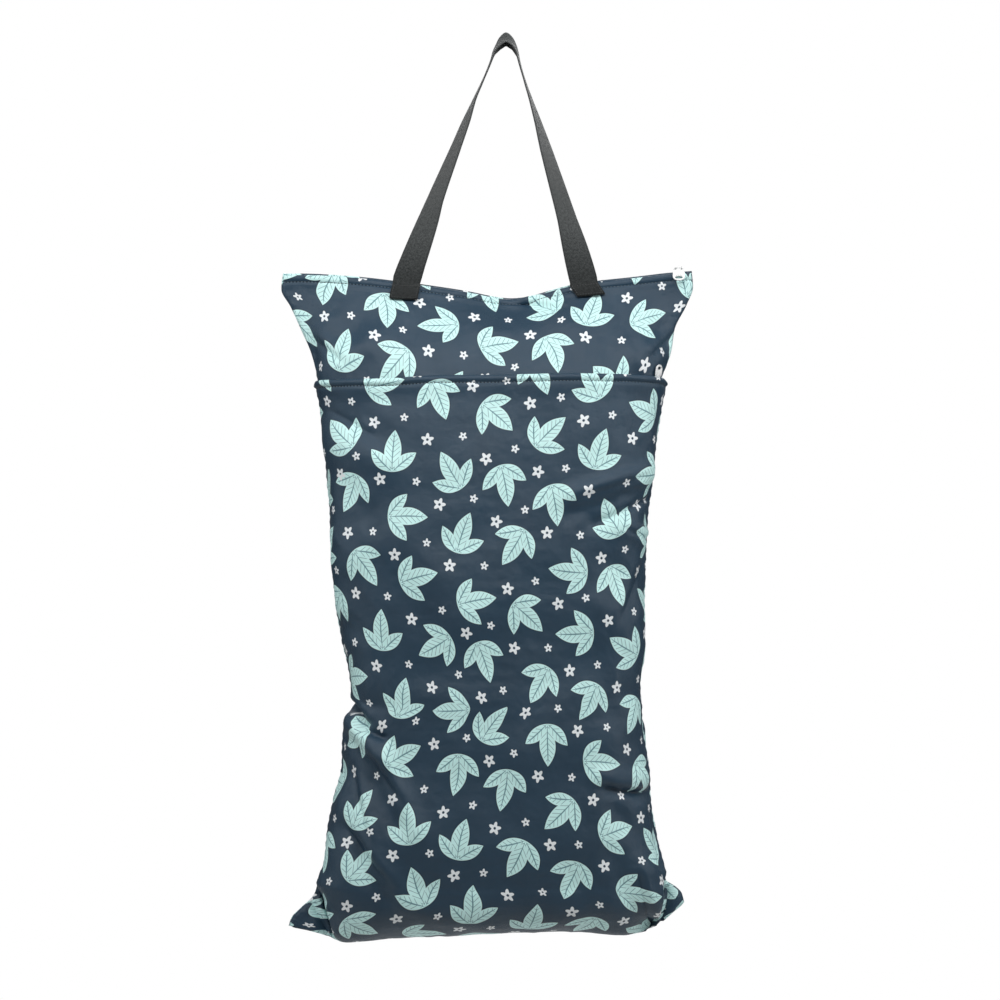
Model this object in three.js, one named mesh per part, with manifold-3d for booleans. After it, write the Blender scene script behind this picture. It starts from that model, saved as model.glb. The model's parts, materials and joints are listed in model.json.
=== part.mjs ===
// Hanging diaper bag: a filled and zipped cloth bag that hangs by one webbing strap from a hook.
// The front is a yoke over a deep panel, whose folded top edge covers the pocket's zip.
// Units are millimetres. The origin is the underside of the strap's crest, where a hook carries it.
// +X is to the right of someone who faces the bag, the front faces -Y, and +Z is up.
import * as THREE from "three";
import Module from "manifold-3d";
import { mergeVertices } from "three/addons/utils/BufferGeometryUtils.js";

const wasm = await Module();
wasm.setup();

// Cloth and fit
const fit = 0.3; // clearance between pieces that touch
const clothWall = 1.2; // printed cloth on its waterproof backing
const hemWall = 2.2; // where the cloth is turned over at the mouth
const hemDepth = 7.5; // mouth's edge to its row of stitches
const seamLip = 0.9; // ridge that the side seam makes

// Bag
const bagWidth = 403; // corner to corner along the mouth
const bagDrop = 657.5; // mouth's corners to the lowest point of the base
const bagDepth = 130; // front to back, where it is fullest
const bagOffset = -18.2; // the bag's middle from the hook, along X
const mouthLevel = -233.6; // the mouth's corners, from the hook
const mouthSag = 31.5; // how far the mouth dips between the strap's ends
const mouthGap = 6; // between the two hems, over the zip
const backHemRise = 2; // the back hem stands this much above the front one
const squareness = 3; // 2 is an ellipse, and more is boxier

// Pocket in the front
const pocketDrop = 105; // mouth's corners to the folded edge of the front panel
const yokeTuck = 0.5; // the yoke goes on this far under that fold
const foldProud = 5.2; // how far the fold stands off the yoke's inner face
const foldReach = 28; // the fold lies back against the bag after this length

// Zips
const tapeWall = 1;
const tapeGap = 0.6; // the pocket's tape lies this far inside the cloth
const tapeWidth = 20;
const zipDepth = 2; // the top zip lies this far below the mouth's edge
const zipHeight = 2.4;
const zipEnd = 0.965; // share of the mouth's half width that the top zip reaches

// Sliders and their pulls
const sliderLength = 9; // along the zip
const sliderWidth = 6; // across the zip
const sliderWall = 1.2;
const keelWall = 1; // the top slider's keel goes down between the hems to the zip
const earWall = 1.1;
const barRadius = 0.6;
const barHeight = 1.9; // hinge bar above the slider's plate
const knuckleWall = 0.7;
const knuckleLength = 4.6;
const pullWidth = 12;
const pullLength = 14.5; // hinge bar to the far end
const pullWall = 1.4;
const slotWidth = 7;
const slotHeight = 3;
const topSliderPlace = 0.93; // share of the mouth's half width
const topSliderRoll = 50; // degrees that the zip's end tips the slider to the front
const topPullDroop = 16; // degrees that its pull hangs below the slider's plate
const pocketSliderPlace = 0.955; // share of the half width
const pocketBarShift = 1.8; // its hinge bar lies nearer to the yoke
const pocketPullLean = 20; // degrees that its pull leans out, past the fold's edge

// Strap
const strapWidth = 27.2;
const strapWall = 1.5;
const strapFold = 78; // degrees that each half is folded down at the crest
const ridgeShare = 0.15; // share of the half width that the fold's bend takes
const strapLift = 0.7; // clearance of the sewn ends from the cloth
const leftSewn = 17; // how far the left sewn end lies below the mouth's edge
const rightSewn = 14;

// Rows of the bag from its mouth down. drop is a share of bagDrop, left and right of half the width,
// depth of half the depth, and lip is the flat cloth outside the filling, as a share of half the width.
const sideRows = [
  { drop: 0.0, left: 1.0, right: 0.999, depth: 0.0, lip: 0.26 },
  { drop: 0.021, left: 1.009, right: 1.006, depth: 0.12, lip: 0.24 },
  { drop: 0.048, left: 0.964, right: 0.975, depth: 0.32, lip: 0.16 },
  { drop: 0.085, left: 0.91, right: 0.916, depth: 0.55, lip: 0.08 },
  { drop: 0.116, left: 0.867, right: 0.901, depth: 0.69, lip: 0.04 },
  { drop: 0.143, left: 0.842, right: 0.872, depth: 0.77, lip: 0.02 },
  { drop: 0.162, left: 0.829, right: 0.847, depth: 0.81, lip: 0.01 },
  { drop: 0.191, left: 0.82, right: 0.854, depth: 0.88, lip: 0 },
  { drop: 0.25, left: 0.798, right: 0.825, depth: 0.94, lip: 0 },
  { drop: 0.313, left: 0.782, right: 0.805, depth: 0.98, lip: 0 },
  { drop: 0.356, left: 0.77, right: 0.787, depth: 1.0, lip: 0 },
  { drop: 0.429, left: 0.761, right: 0.772, depth: 1.0, lip: 0 },
  { drop: 0.498, left: 0.739, right: 0.767, depth: 1.0, lip: 0 },
  { drop: 0.548, left: 0.711, right: 0.76, depth: 0.99, lip: 0 },
  { drop: 0.589, left: 0.68, right: 0.75, depth: 0.97, lip: 0 },
  { drop: 0.624, left: 0.662, right: 0.744, depth: 0.96, lip: 0 },
  { drop: 0.642, left: 0.647, right: 0.751, depth: 0.95, lip: 0 },
  { drop: 0.656, left: 0.674, right: 0.753, depth: 0.95, lip: 0 },
  { drop: 0.69, left: 0.705, right: 0.762, depth: 0.97, lip: 0 },
  { drop: 0.745, left: 0.717, right: 0.791, depth: 1.0, lip: 0 },
  { drop: 0.782, left: 0.749, right: 0.795, depth: 1.0, lip: 0 },
  { drop: 0.833, left: 0.782, right: 0.82, depth: 1.0, lip: 0 },
  { drop: 0.878, left: 0.797, right: 0.856, depth: 0.98, lip: 0 },
  { drop: 0.907, left: 0.827, right: 0.873, depth: 0.94, lip: 0 },
];

// Rows of the base, from the last side row to the seam. turn is a share of the quarter turn under the
// filling, and the lip grows into the two empty corners that stick out.
const baseRows = [
  { turn: 0.2, left: 0.85, right: 0.925, lip: 0.06 },
  { turn: 0.4, left: 0.91, right: 0.951, lip: 0.13 },
  { turn: 0.6, left: 0.958, right: 0.958, lip: 0.19 },
  { turn: 0.8, left: 0.97, right: 0.962, lip: 0.21 },
  { turn: 1.0, left: 0.973, right: 0.963, lip: 0.21 },
];

// Dip of the mouth, as a share of mouthSag. across runs from -1 at the left seam to 1 at the right one.
const mouthCurve = [
  { across: -1, dip: 0.11 },
  { across: -0.91, dip: 0.06 },
  { across: -0.66, dip: 0.19 },
  { across: -0.51, dip: 0.25 },
  { across: -0.46, dip: 0.37 },
  { across: -0.3, dip: 0.42 },
  { across: -0.2, dip: 0.59 },
  { across: -0.08, dip: 0.62 },
  { across: -0.01, dip: 0.75 },
  { across: 0.06, dip: 0.97 },
  { across: 0.11, dip: 1.0 },
  { across: 0.16, dip: 0.97 },
  { across: 0.28, dip: 0.69 },
  { across: 0.35, dip: 0.5 },
  { across: 0.55, dip: 0.31 },
  { across: 0.74, dip: 0.2 },
  { across: 0.94, dip: 0.0 },
  { across: 1, dip: 0.03 },
];

// Drop of the base seam below the last side row, as a share of what is left of bagDrop.
const baseCurve = [
  { across: -1, dip: 0.74 },
  { across: -0.82, dip: 0.86 },
  { across: -0.72, dip: 1.0 },
  { across: -0.6, dip: 0.95 },
  { across: -0.34, dip: 0.89 },
  { across: 0.0, dip: 0.85 },
  { across: 0.39, dip: 0.81 },
  { across: 0.68, dip: 0.86 },
  { across: 0.82, dip: 0.76 },
  { across: 0.89, dip: 0.5 },
  { across: 1, dip: 0.34 },
];

// Dents and folds in the filled part. deep is a share of half the depth, wide of half the width, and
// tall of bagDrop.
const dents = [
  { across: -0.8, drop: 0.66, deep: 0.16, wide: 0.22, tall: 0.022 },
  { across: 0.85, drop: 0.76, deep: 0.07, wide: 0.2, tall: 0.03 },
  { across: 0.05, drop: 0.1, deep: 0.06, wide: 0.3, tall: 0.03 },
];

// The strap's sewn ends. hem and end are shares of half the width, at the mouth's edge and at the
// turned end.
const leftSeat = { hem: -0.392, end: -0.403, sewn: leftSewn };
const rightSeat = { hem: 0.466, end: 0.499, sewn: rightSewn };

// Runs of the strap from its crest to the mouth's edge. out and down are shares of the way to the seat,
// turn of the quarter turn from edge-on to flat, and fold of strapFold.
const leftRun = [
  { out: 0.057, down: 0.014, turn: 0, fold: 0.66 },
  { out: 0.099, down: 0.045, turn: 0.01, fold: 0.28 },
  { out: 0.128, down: 0.071, turn: 0.03, fold: 0.12 },
  { out: 0.152, down: 0.105, turn: 0.045, fold: 0.05 },
  { out: 0.231, down: 0.185, turn: 0.06, fold: 0 },
  { out: 0.321, down: 0.265, turn: 0.093, fold: 0 },
  { out: 0.407, down: 0.354, turn: 0.21, fold: 0 },
  { out: 0.515, down: 0.464, turn: 0.27, fold: 0 },
  { out: 0.713, down: 0.663, turn: 0.43, fold: 0 },
  { out: 0.782, down: 0.743, turn: 0.55, fold: 0 },
  { out: 0.943, down: 0.918, turn: 0.82, fold: 0 },
];
const rightRun = [
  { out: 0.074, down: 0.014, turn: 0, fold: 0.66 },
  { out: 0.129, down: 0.047, turn: 0.01, fold: 0.26 },
  { out: 0.158, down: 0.08, turn: 0.03, fold: 0.1 },
  { out: 0.172, down: 0.105, turn: 0.045, fold: 0.05 },
  { out: 0.24, down: 0.185, turn: 0.055, fold: 0 },
  { out: 0.324, down: 0.265, turn: 0.1, fold: 0 },
  { out: 0.416, down: 0.354, turn: 0.18, fold: 0 },
  { out: 0.52, down: 0.464, turn: 0.295, fold: 0 },
  { out: 0.79, down: 0.743, turn: 0.51, fold: 0 },
  { out: 0.896, down: 0.862, turn: 0.74, fold: 0 },
];

const halfWidth = bagWidth / 2;
const halfDepth = bagDepth / 2;
const halfGap = fit / 2;
const lastSide = sideRows[sideRows.length - 1];
const sideEnd = lastSide.drop * bagDrop;
const baseDrop = bagDrop - sideEnd;
const bodySteps = 22; // facets across the filled part of a row
const lipSteps = 2; // facets across the flat cloth on each side of the filling
const lastColumn = bodySteps + 2 * lipSteps;
const radians = Math.PI / 180;

// Reads a column of a table at a place between two of its rows.
function read(table, key, at, column) {
  let next = table.findIndex((row) => row[key] >= at);
  if (next < 0) next = table.length - 1;
  if (next === 0) return table[0][column];
  const [low, high] = [table[next - 1], table[next]];
  const share = Math.min(1, (at - low[key]) / (high[key] - low[key]));
  return low[column] + (high[column] - low[column]) * share;
}

// Steps of equal length round half a section, each with its reach to the side and its swell forward.
function sectionSteps() {
  const samples = 400;
  const power = 2 / squareness;
  const points = Array.from({ length: samples + 1 }, (_, i) => {
    const angle = Math.PI * (1 - i / samples);
    const reach = Math.sign(Math.cos(angle)) * Math.abs(Math.cos(angle)) ** power;
    const swell = i === 0 || i === samples ? 0 : Math.sin(angle) ** power;
    return { reach, swell, along: 0 };
  });
  for (let i = 1; i <= samples; i++) {
    const [a, b] = [points[i - 1], points[i]];
    b.along = a.along + Math.hypot((b.reach - a.reach) * halfWidth, (b.swell - a.swell) * halfDepth);
  }
  const total = points[samples].along;
  return Array.from({ length: bodySteps + 1 }, (_, i) => {
    const at = (total * i) / bodySteps;
    return { reach: read(points, "along", at, "reach"), swell: read(points, "along", at, "swell") };
  });
}

const steps = sectionSteps();

// A row of the bag at a length below the mouth's corners, down to where the base turns under.
function sideRow(length) {
  const drop = length / bagDrop;
  const column = (name) => read(sideRows, "drop", drop, name);
  return {
    drop,
    left: column("left") * halfWidth,
    right: column("right") * halfWidth,
    lip: Math.max(seamLip, column("lip") * halfWidth),
    depth: column("depth") * halfDepth,
    level: mouthLevel - length,
    sag: mouthSag * Math.max(0, 1 - length / pocketDrop),
    mouth: Math.max(0, 1 - drop / sideRows[2].drop),
    turn: 0,
    lift: 0,
    proud: 0,
  };
}

function baseRow(row) {
  return {
    ...sideRow(sideEnd),
    left: row.left * halfWidth,
    right: row.right * halfWidth,
    lip: row.lip * halfWidth,
    depth: lastSide.depth * halfDepth * Math.cos((row.turn * Math.PI) / 2),
    turn: Math.sin((row.turn * Math.PI) / 2),
  };
}

function dentAt(dent, across, drop) {
  const sideways = (across - dent.across) / dent.wide;
  const down = (drop - dent.drop) / dent.tall;
  return dent.deep * Math.exp(-(sideways ** 2) - down ** 2);
}

// Distance of the cloth's inner face from the middle plane.
function faceDepth(row, across, swell) {
  const open = (mouthGap / 2) * row.mouth * (1 - across ** 12);
  const dent = dents.reduce((sum, d) => sum + dentAt(d, across, row.drop), 0);
  return halfGap + open + row.lift + swell * (row.depth * (1 - dent) + row.proud);
}

function faceLevel(row, across, skin, side) {
  const under = row.turn * (baseDrop * read(baseCurve, "across", across, "dip") - clothWall + skin);
  const rise = side > 0 ? backHemRise * row.mouth : 0;
  return row.level - row.sag * read(mouthCurve, "across", across, "dip") + rise - under;
}

// A point of a row. The first and last columns lie on the flat cloth at the side seams, and the others go
// round the filling.
// skin is how far the point lies outside the cloth's inner face, and side is -1 in front, 1 at the back.
function clothPoint(row, column, skin, side) {
  const step = steps[Math.min(bodySteps, Math.max(0, column - lipSteps))];
  const half = step.reach < 0 ? row.left : row.right;
  const past = Math.max(lipSteps - column, column - lipSteps - bodySteps, 0) / lipSteps;
  const edge = half - (row.lip + clothWall - skin) * (1 - past);
  const across = (past > 0 ? Math.sign(step.reach) * edge : step.reach * edge) / half;
  const y = faceDepth(row, across, step.swell) + skin;
  return new THREE.Vector3(bagOffset + across * half, side * y, faceLevel(row, across, skin, side));
}

// A point of the front at a place across it, standing off the cloth's inner face by the skin.
function frontPoint(length, across, skin) {
  const row = sideRow(length);
  const half = across < 0 ? row.left : row.right;
  const reach = Math.min(1, (Math.abs(across) * half) / (half - row.lip - clothWall));
  const swell = (1 - reach ** squareness) ** (1 / squareness);
  const y = -faceDepth(row, across, swell) - skin;
  return new THREE.Vector3(bagOffset + across * half, y, faceLevel(row, across, 0, -1));
}

// Closed solid between an outer and an inner grid of points, joined round their four edges.
function slab(outer, inner, flipped) {
  const rows = outer.length;
  const columns = outer[0].length;
  const faces = [];
  const at = (r, c, layer) => layer * rows * columns + r * columns + c;
  const quad = (a, b, c, d) => faces.push(...(flipped ? [a, c, b, a, d, c] : [a, b, c, a, c, d]));
  for (let r = 0; r + 1 < rows; r++) {
    for (let c = 0; c + 1 < columns; c++) {
      quad(at(r, c, 0), at(r + 1, c, 0), at(r + 1, c + 1, 0), at(r, c + 1, 0));
      quad(at(r, c, 1), at(r, c + 1, 1), at(r + 1, c + 1, 1), at(r + 1, c, 1));
    }
    quad(at(r, 0, 1), at(r + 1, 0, 1), at(r + 1, 0, 0), at(r, 0, 0));
    quad(at(r, columns - 1, 0), at(r + 1, columns - 1, 0), at(r + 1, columns - 1, 1), at(r, columns - 1, 1));
  }
  for (let c = 0; c + 1 < columns; c++) {
    quad(at(0, c, 1), at(0, c, 0), at(0, c + 1, 0), at(0, c + 1, 1));
    quad(at(rows - 1, c, 0), at(rows - 1, c, 1), at(rows - 1, c + 1, 1), at(rows - 1, c + 1, 0));
  }
  const geometry = new THREE.BufferGeometry();
  const flat = [...outer.flat(), ...inner.flat()].flatMap((p) => [p.x, p.y, p.z]);
  geometry.setAttribute("position", new THREE.Float32BufferAttribute(flat, 3));
  geometry.setIndex(faces);
  return geometry;
}

// Cloth sheet through rows that each carry the skins of their outer and inner face.
function clothSheet(rows, side, firstColumn = 0) {
  const columns = [];
  for (let c = firstColumn; c <= lastColumn - firstColumn; c++) columns.push(c);
  const layer = (skin) => rows.map((row) => columns.map((c) => clothPoint(row, c, row[skin], side)));
  return slab(layer("outer"), layer("inner"), side > 0);
}

// Rows from one length to another, through the rows of the table between them.
function rowsBetween(start, end) {
  const inside = [...sideRows.map((row) => row.drop * bagDrop), pocketDrop].sort((a, b) => a - b);
  const lengths = [start, ...inside.filter((x) => x > start + fit && x < end - fit), end];
  return lengths.map((x) => ({ ...sideRow(x), outer: clothWall, inner: 0 }));
}

const hemRows = [0, hemDepth].map((x) => ({ ...sideRow(x), outer: hemWall, inner: 0 }));
const base = baseRows.map((row) => ({ ...baseRow(row), outer: clothWall, inner: 0 }));

function yokeGeometry() {
  const below = rowsBetween(hemDepth + clothWall, pocketDrop + yokeTuck);
  return clothSheet([...hemRows, ...below], -1);
}

function backGeometry() {
  const below = rowsBetween(hemDepth + clothWall, sideEnd);
  return clothSheet([...hemRows, ...below, ...base], 1);
}

// The front panel's top edge is folded over and stands off the yoke, to leave room for the pocket's zip.
function frontGeometry() {
  const foldRows = [0, 0.2, 0.5, 0.8].map((share) => {
    const left = (1 + Math.cos(Math.PI * share)) / 2;
    const row = sideRow(pocketDrop + share * foldReach);
    const lift = (clothWall + fit) * left;
    return {
      ...row,
      left: row.left + lift,
      right: row.right + foldProud * left,
      lift,
      proud: foldProud * left - lift,
      outer: clothWall + (hemWall - clothWall) * left,
      inner: 0,
    };
  });
  return clothSheet([...foldRows, ...rowsBetween(pocketDrop + foldReach, sideEnd), ...base], -1);
}

// The pocket's zip lies inside the yoke and the front panel, and stops short of the side seams.
function pocketZipGeometry() {
  const top = pocketDrop + yokeTuck - tapeWidth / 2;
  const skins = { outer: -tapeGap, inner: -tapeGap - tapeWall };
  const rows = rowsBetween(top, top + tapeWidth).map((row) => ({ ...row, ...skins }));
  return clothSheet(rows, -1, lipSteps + 1);
}

// The top zip fills the gap between the hems, along the mouth's curve, and stops short of the seams.
function topZipGeometry() {
  const points = [0, zipDepth + zipHeight].map((length) => {
    const row = sideRow(length);
    const line = Array.from({ length: lastColumn + 1 }, (_, c) => clothPoint(row, c, 0, -1));
    const share = ((1 - zipEnd) * row.left) / line[0].distanceTo(line[1]);
    line[0].lerp(line[1], share);
    line[lastColumn].lerp(line[lastColumn - 1], share);
    return line;
  });
  const wall = (down, side) =>
    points[0].map((p, c) => {
      const y = Math.min(-p.y, -points[1][c].y) - fit;
      return new THREE.Vector3(p.x, side * y, p.z - down);
    });
  const top = [wall(zipDepth, -1), wall(zipDepth, 1)];
  const bottom = [wall(zipDepth + zipHeight, -1), wall(zipDepth + zipHeight, 1)];
  const outer = top[0].map((p, c) => [p, bottom[0][c]]);
  const inner = top[1].map((p, c) => [p, bottom[1][c]]);
  return slab(outer, inner, true);
}

// A point across the strap's section, from -1 at one edge to 1 at the other. The halves fold down from
// a bent ridge, and the skin stands the point off the middle of the webbing.
function strapPoint(ring, s, skin) {
  const half = strapWidth / 2;
  const bend = Math.max(ring.fold * strapFold * radians, 0.001);
  const size = Math.abs(s);
  const side = Math.sign(s);
  const angle = bend * Math.min(1, size / ridgeShare);
  const straight = Math.max(0, size - ridgeShare);
  const arc = ridgeShare / bend;
  const across = side * half * (arc * Math.sin(angle) + straight * Math.cos(bend));
  const down = half * (arc * (1 - Math.cos(angle)) + straight * Math.sin(bend));
  return ring.centre
    .clone()
    .addScaledVector(ring.width, across + side * skin * Math.sin(angle))
    .addScaledVector(ring.normal, skin * Math.cos(angle) - down);
}

const strapColumns = [-1, -ridgeShare, 0, ridgeShare, 1];

// Rings of a sewn end, from the turned end up to the mouth's edge. The webbing lies double there.
function sewnRings(seat) {
  const inward = seat.hem < 0 ? 1 : -1;
  return [1, 0.66, 0.33, 0].map((share) => {
    const middle = seat.hem + (seat.end - seat.hem) * share;
    const layer = (height) =>
      strapColumns.map((s) => {
        const across = middle + (inward * s * strapWidth) / 2 / halfWidth;
        return frontPoint(seat.sewn * share, across, hemWall + strapLift + height);
      });
    return { outer: layer(2 * strapWall), inner: layer(0) };
  });
}

// The free run of the strap, from the left seat over the crest to the right seat.
function freeRings() {
  const place = (seat) => {
    const top = frontPoint(0, seat.hem, hemWall + strapLift + strapWall);
    return (row) => {
      const point = new THREE.Vector3(row.out * top.x, row.down * top.y, row.down * top.z);
      return { ...row, point };
    };
  };
  const seated = { out: 1, down: 0.985, turn: 1, fold: 0 };
  const left = [...leftRun, seated].map(place(leftSeat)).reverse();
  const right = [...rightRun, seated].map(place(rightSeat));
  const crest = { turn: 0, fold: 1, point: new THREE.Vector3(0, 0, strapWall / 2) };
  const stations = [...left, crest, ...right];
  const curve = new THREE.CatmullRomCurve3(stations.map((row) => row.point));
  const perStation = 2;
  const count = (stations.length - 1) * perStation;
  return Array.from({ length: count + 1 }, (_, i) => {
    const index = Math.min(stations.length - 2, Math.floor(i / perStation));
    const share = i / perStation - index;
    const blend = (name) => stations[index][name] * (1 - share) + stations[index + 1][name] * share;
    const tangent = curve.getTangent(i / count);
    const outward = new THREE.Vector3(-tangent.z, 0, tangent.x).normalize();
    const front = new THREE.Vector3().crossVectors(tangent, outward).normalize();
    outward.crossVectors(front, tangent);
    const turn = blend("turn") * (Math.PI / 2);
    const normal = outward.clone().multiplyScalar(Math.cos(turn)).addScaledVector(front, Math.sin(turn));
    const width = front.clone().multiplyScalar(Math.cos(turn)).addScaledVector(outward, -Math.sin(turn));
    const ring = { centre: curve.getPoint(i / count), normal, width, fold: blend("fold") };
    const layer = (skin) => strapColumns.map((s) => strapPoint(ring, s, skin));
    return { outer: layer(strapWall / 2), inner: layer(-strapWall / 2) };
  });
}

function strapGeometry() {
  const rings = [...sewnRings(leftSeat), ...freeRings(), ...sewnRings(rightSeat).reverse()];
  return slab(rings.map((ring) => ring.outer), rings.map((ring) => ring.inner), true);
}

// Boolean joins and cuts of closed geometries.
function toSolid(geometry) {
  const bare = geometry.clone();
  for (const name of Object.keys(bare.attributes)) {
    if (name !== "position") bare.deleteAttribute(name);
  }
  const merged = mergeVertices(bare, 1e-4);
  const vertProperties = new Float32Array(merged.attributes.position.array);
  const triVerts = new Uint32Array(merged.index.array);
  return new wasm.Manifold(new wasm.Mesh({ numProp: 3, vertProperties, triVerts }));
}

function toGeometry(solid) {
  const mesh = solid.getMesh();
  const geometry = new THREE.BufferGeometry();
  geometry.setAttribute("position", new THREE.Float32BufferAttribute(mesh.vertProperties, 3));
  geometry.setIndex([...mesh.triVerts]);
  return geometry;
}

function joined(...geometries) {
  return toGeometry(geometries.map(toSolid).reduce((whole, piece) => whole.add(piece)));
}

function block(width, depth, height, x, y, z) {
  return new THREE.BoxGeometry(width, depth, height).translate(x, y, z);
}

// Round piece whose axis lies along X, centred on the hinge bar's height above a plate.
function roundAlongX(radius, length, sides) {
  return new THREE.CylinderGeometry(radius, radius, length, sides).rotateZ(Math.PI / 2);
}

// Slider whose plate's underside is at y = 0, with its hinge bar out in front of it along -Y.
function sliderGeometry(barShift, extra = []) {
  const earX = knuckleLength / 2 + fit + earWall / 2;
  const earHeight = barHeight + barRadius + fit;
  const earY = fit - sliderWall - earHeight / 2;
  const plate = block(sliderLength, sliderWall, sliderWidth, 0, -sliderWall / 2, 0);
  const ears = [-1, 1].map((side) => block(earWall, earHeight, 4 * barRadius, side * earX, earY, barShift));
  const bar = roundAlongX(barRadius, 2 * earX, 12).translate(0, -sliderWall - barHeight, barShift);
  return joined(plate, ...ears, bar, ...extra);
}

// Keel of the top slider, which stays upright while the slider's plate is tipped to the front.
function keelGeometry(rise) {
  const height = rise + sliderWall / 2 + zipDepth - fit;
  const keel = block(sliderLength / 2, keelWall, height, 0, 0, sliderWall / 2 - height / 2);
  return keel.rotateX((90 - topSliderRoll) * radians);
}

// Pull that hangs along -Z from its hinge on the X axis, with a slot near its far end.
function pullGeometry() {
  const holeRadius = barRadius + fit;
  const knuckleRadius = holeRadius + knuckleWall;
  const sleeve = new THREE.Shape().absarc(0, 0, knuckleRadius, 0, 2 * Math.PI);
  sleeve.holes.push(new THREE.Path().absarc(0, 0, holeRadius, 0, 2 * Math.PI, true));
  const turned = { depth: knuckleLength, bevelEnabled: false, curveSegments: 8 };
  const knuckle = new THREE.ExtrudeGeometry(sleeve, turned);
  knuckle.translate(0, 0, -knuckleLength / 2).rotateY(Math.PI / 2);
  const neck = knuckleLength / 2;
  const top = -holeRadius - knuckleWall / 2;
  const shoulder = -knuckleRadius - 2 * fit;
  const wide = pullWidth / 2;
  const round = wide * 0.7;
  const low = -pullLength + round;
  const tab = new THREE.Shape();
  tab.moveTo(-neck, top);
  tab.lineTo(-neck, shoulder);
  tab.lineTo(-wide, shoulder - 2 * fit);
  tab.absarc(-wide + round, low, round, Math.PI, 1.5 * Math.PI);
  tab.absarc(wide - round, low, round, 1.5 * Math.PI, 2 * Math.PI);
  tab.lineTo(wide, shoulder - 2 * fit);
  tab.lineTo(neck, shoulder);
  tab.lineTo(neck, top);
  const slotLevel = -pullLength + slotHeight / 2 + pullWall;
  const end = (slotWidth - slotHeight) / 2;
  const slot = new THREE.Path();
  slot.absarc(end, slotLevel, slotHeight / 2, Math.PI / 2, -Math.PI / 2, true);
  slot.absarc(-end, slotLevel, slotHeight / 2, -Math.PI / 2, -1.5 * Math.PI, true);
  tab.holes.push(slot);
  const plate = new THREE.ExtrudeGeometry(tab, { depth: pullWall, bevelEnabled: false, curveSegments: 4 });
  plate.translate(0, 0, -pullWall / 2).rotateX(Math.PI / 2);
  return joined(knuckle, plate);
}

const cloth = { roughness: 0.62, metalness: 0 };
const navyCloth = new THREE.MeshStandardMaterial({ color: 0x26323f, ...cloth });
const yokeCloth = new THREE.MeshStandardMaterial({ color: 0x2b3948, ...cloth });
const backCloth = new THREE.MeshStandardMaterial({ color: 0x232e3a, ...cloth });
const webbing = new THREE.MeshStandardMaterial({ color: 0x202424, roughness: 0.8, metalness: 0 });
const zipTape = new THREE.MeshStandardMaterial({ color: 0x161c24, roughness: 0.75, metalness: 0 });
const whitePlastic = new THREE.MeshStandardMaterial({ color: 0xf1f2f2, roughness: 0.35, metalness: 0 });

const bag = new THREE.Group();

function add(name, geometry, material, parent = bag) {
  const mesh = new THREE.Mesh(geometry, material);
  mesh.name = name;
  parent.add(mesh);
  return mesh;
}

add("front_panel", frontGeometry(), navyCloth);
add("front_yoke", yokeGeometry(), yokeCloth);
add("back_panel", backGeometry(), backCloth);
add("pocket_zip", pocketZipGeometry(), zipTape);
add("top_zip", topZipGeometry(), zipTape);
add("strap", strapGeometry(), webbing);

// The top slider rides over the hems, tipped to the front, and its pull hangs down over the front hem.
const topSlider = new THREE.Group();
const sliderRise = (sliderWidth / 2) * Math.sin(topSliderRoll * radians) + fit;
const mouthPoint = frontPoint(0, topSliderPlace, 0);
topSlider.position.set(mouthPoint.x, 0, mouthPoint.z + sliderRise);
topSlider.rotation.x = (topSliderRoll - 90) * radians;
bag.add(topSlider);
add("top_slider", sliderGeometry(0, [keelGeometry(sliderRise)]), whitePlastic, topSlider);
const topPull = add("top_pull", pullGeometry(), whitePlastic, topSlider);
topPull.position.y = -sliderWall - barHeight;
topPull.rotation.x = topPullDroop * radians;

// The pocket's slider lies on the tape, just under the yoke, and its pull stands up past the fold.
const pocketSlider = new THREE.Group();
const pocketLength = pocketDrop + yokeTuck + fit + sliderWidth / 2;
const near = 0.004; // share of the half width, to find how the cloth lies there
const seat = frontPoint(pocketLength, pocketSliderPlace, fit - tapeGap);
const along = frontPoint(pocketLength, pocketSliderPlace + near, fit - tapeGap).sub(seat).normalize();
const up = frontPoint(pocketLength - near * halfWidth, pocketSliderPlace, fit - tapeGap).sub(seat);
const inward = new THREE.Vector3().crossVectors(up, along).normalize();
const across = new THREE.Vector3().crossVectors(along, inward);
pocketSlider.position.copy(seat);
pocketSlider.quaternion.setFromRotationMatrix(new THREE.Matrix4().makeBasis(along, inward, across));
bag.add(pocketSlider);
add("pocket_slider", sliderGeometry(pocketBarShift), whitePlastic, pocketSlider);
const pocketPull = add("pocket_pull", pullGeometry(), whitePlastic, pocketSlider);
pocketPull.position.set(0, -sliderWall - barHeight, pocketBarShift);
pocketPull.rotation.x = Math.PI + pocketPullLean * radians;

export default bag;
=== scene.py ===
import json
import math

import bmesh
import bpy
import numpy as np
from mathutils import Matrix, Vector, noise


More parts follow.
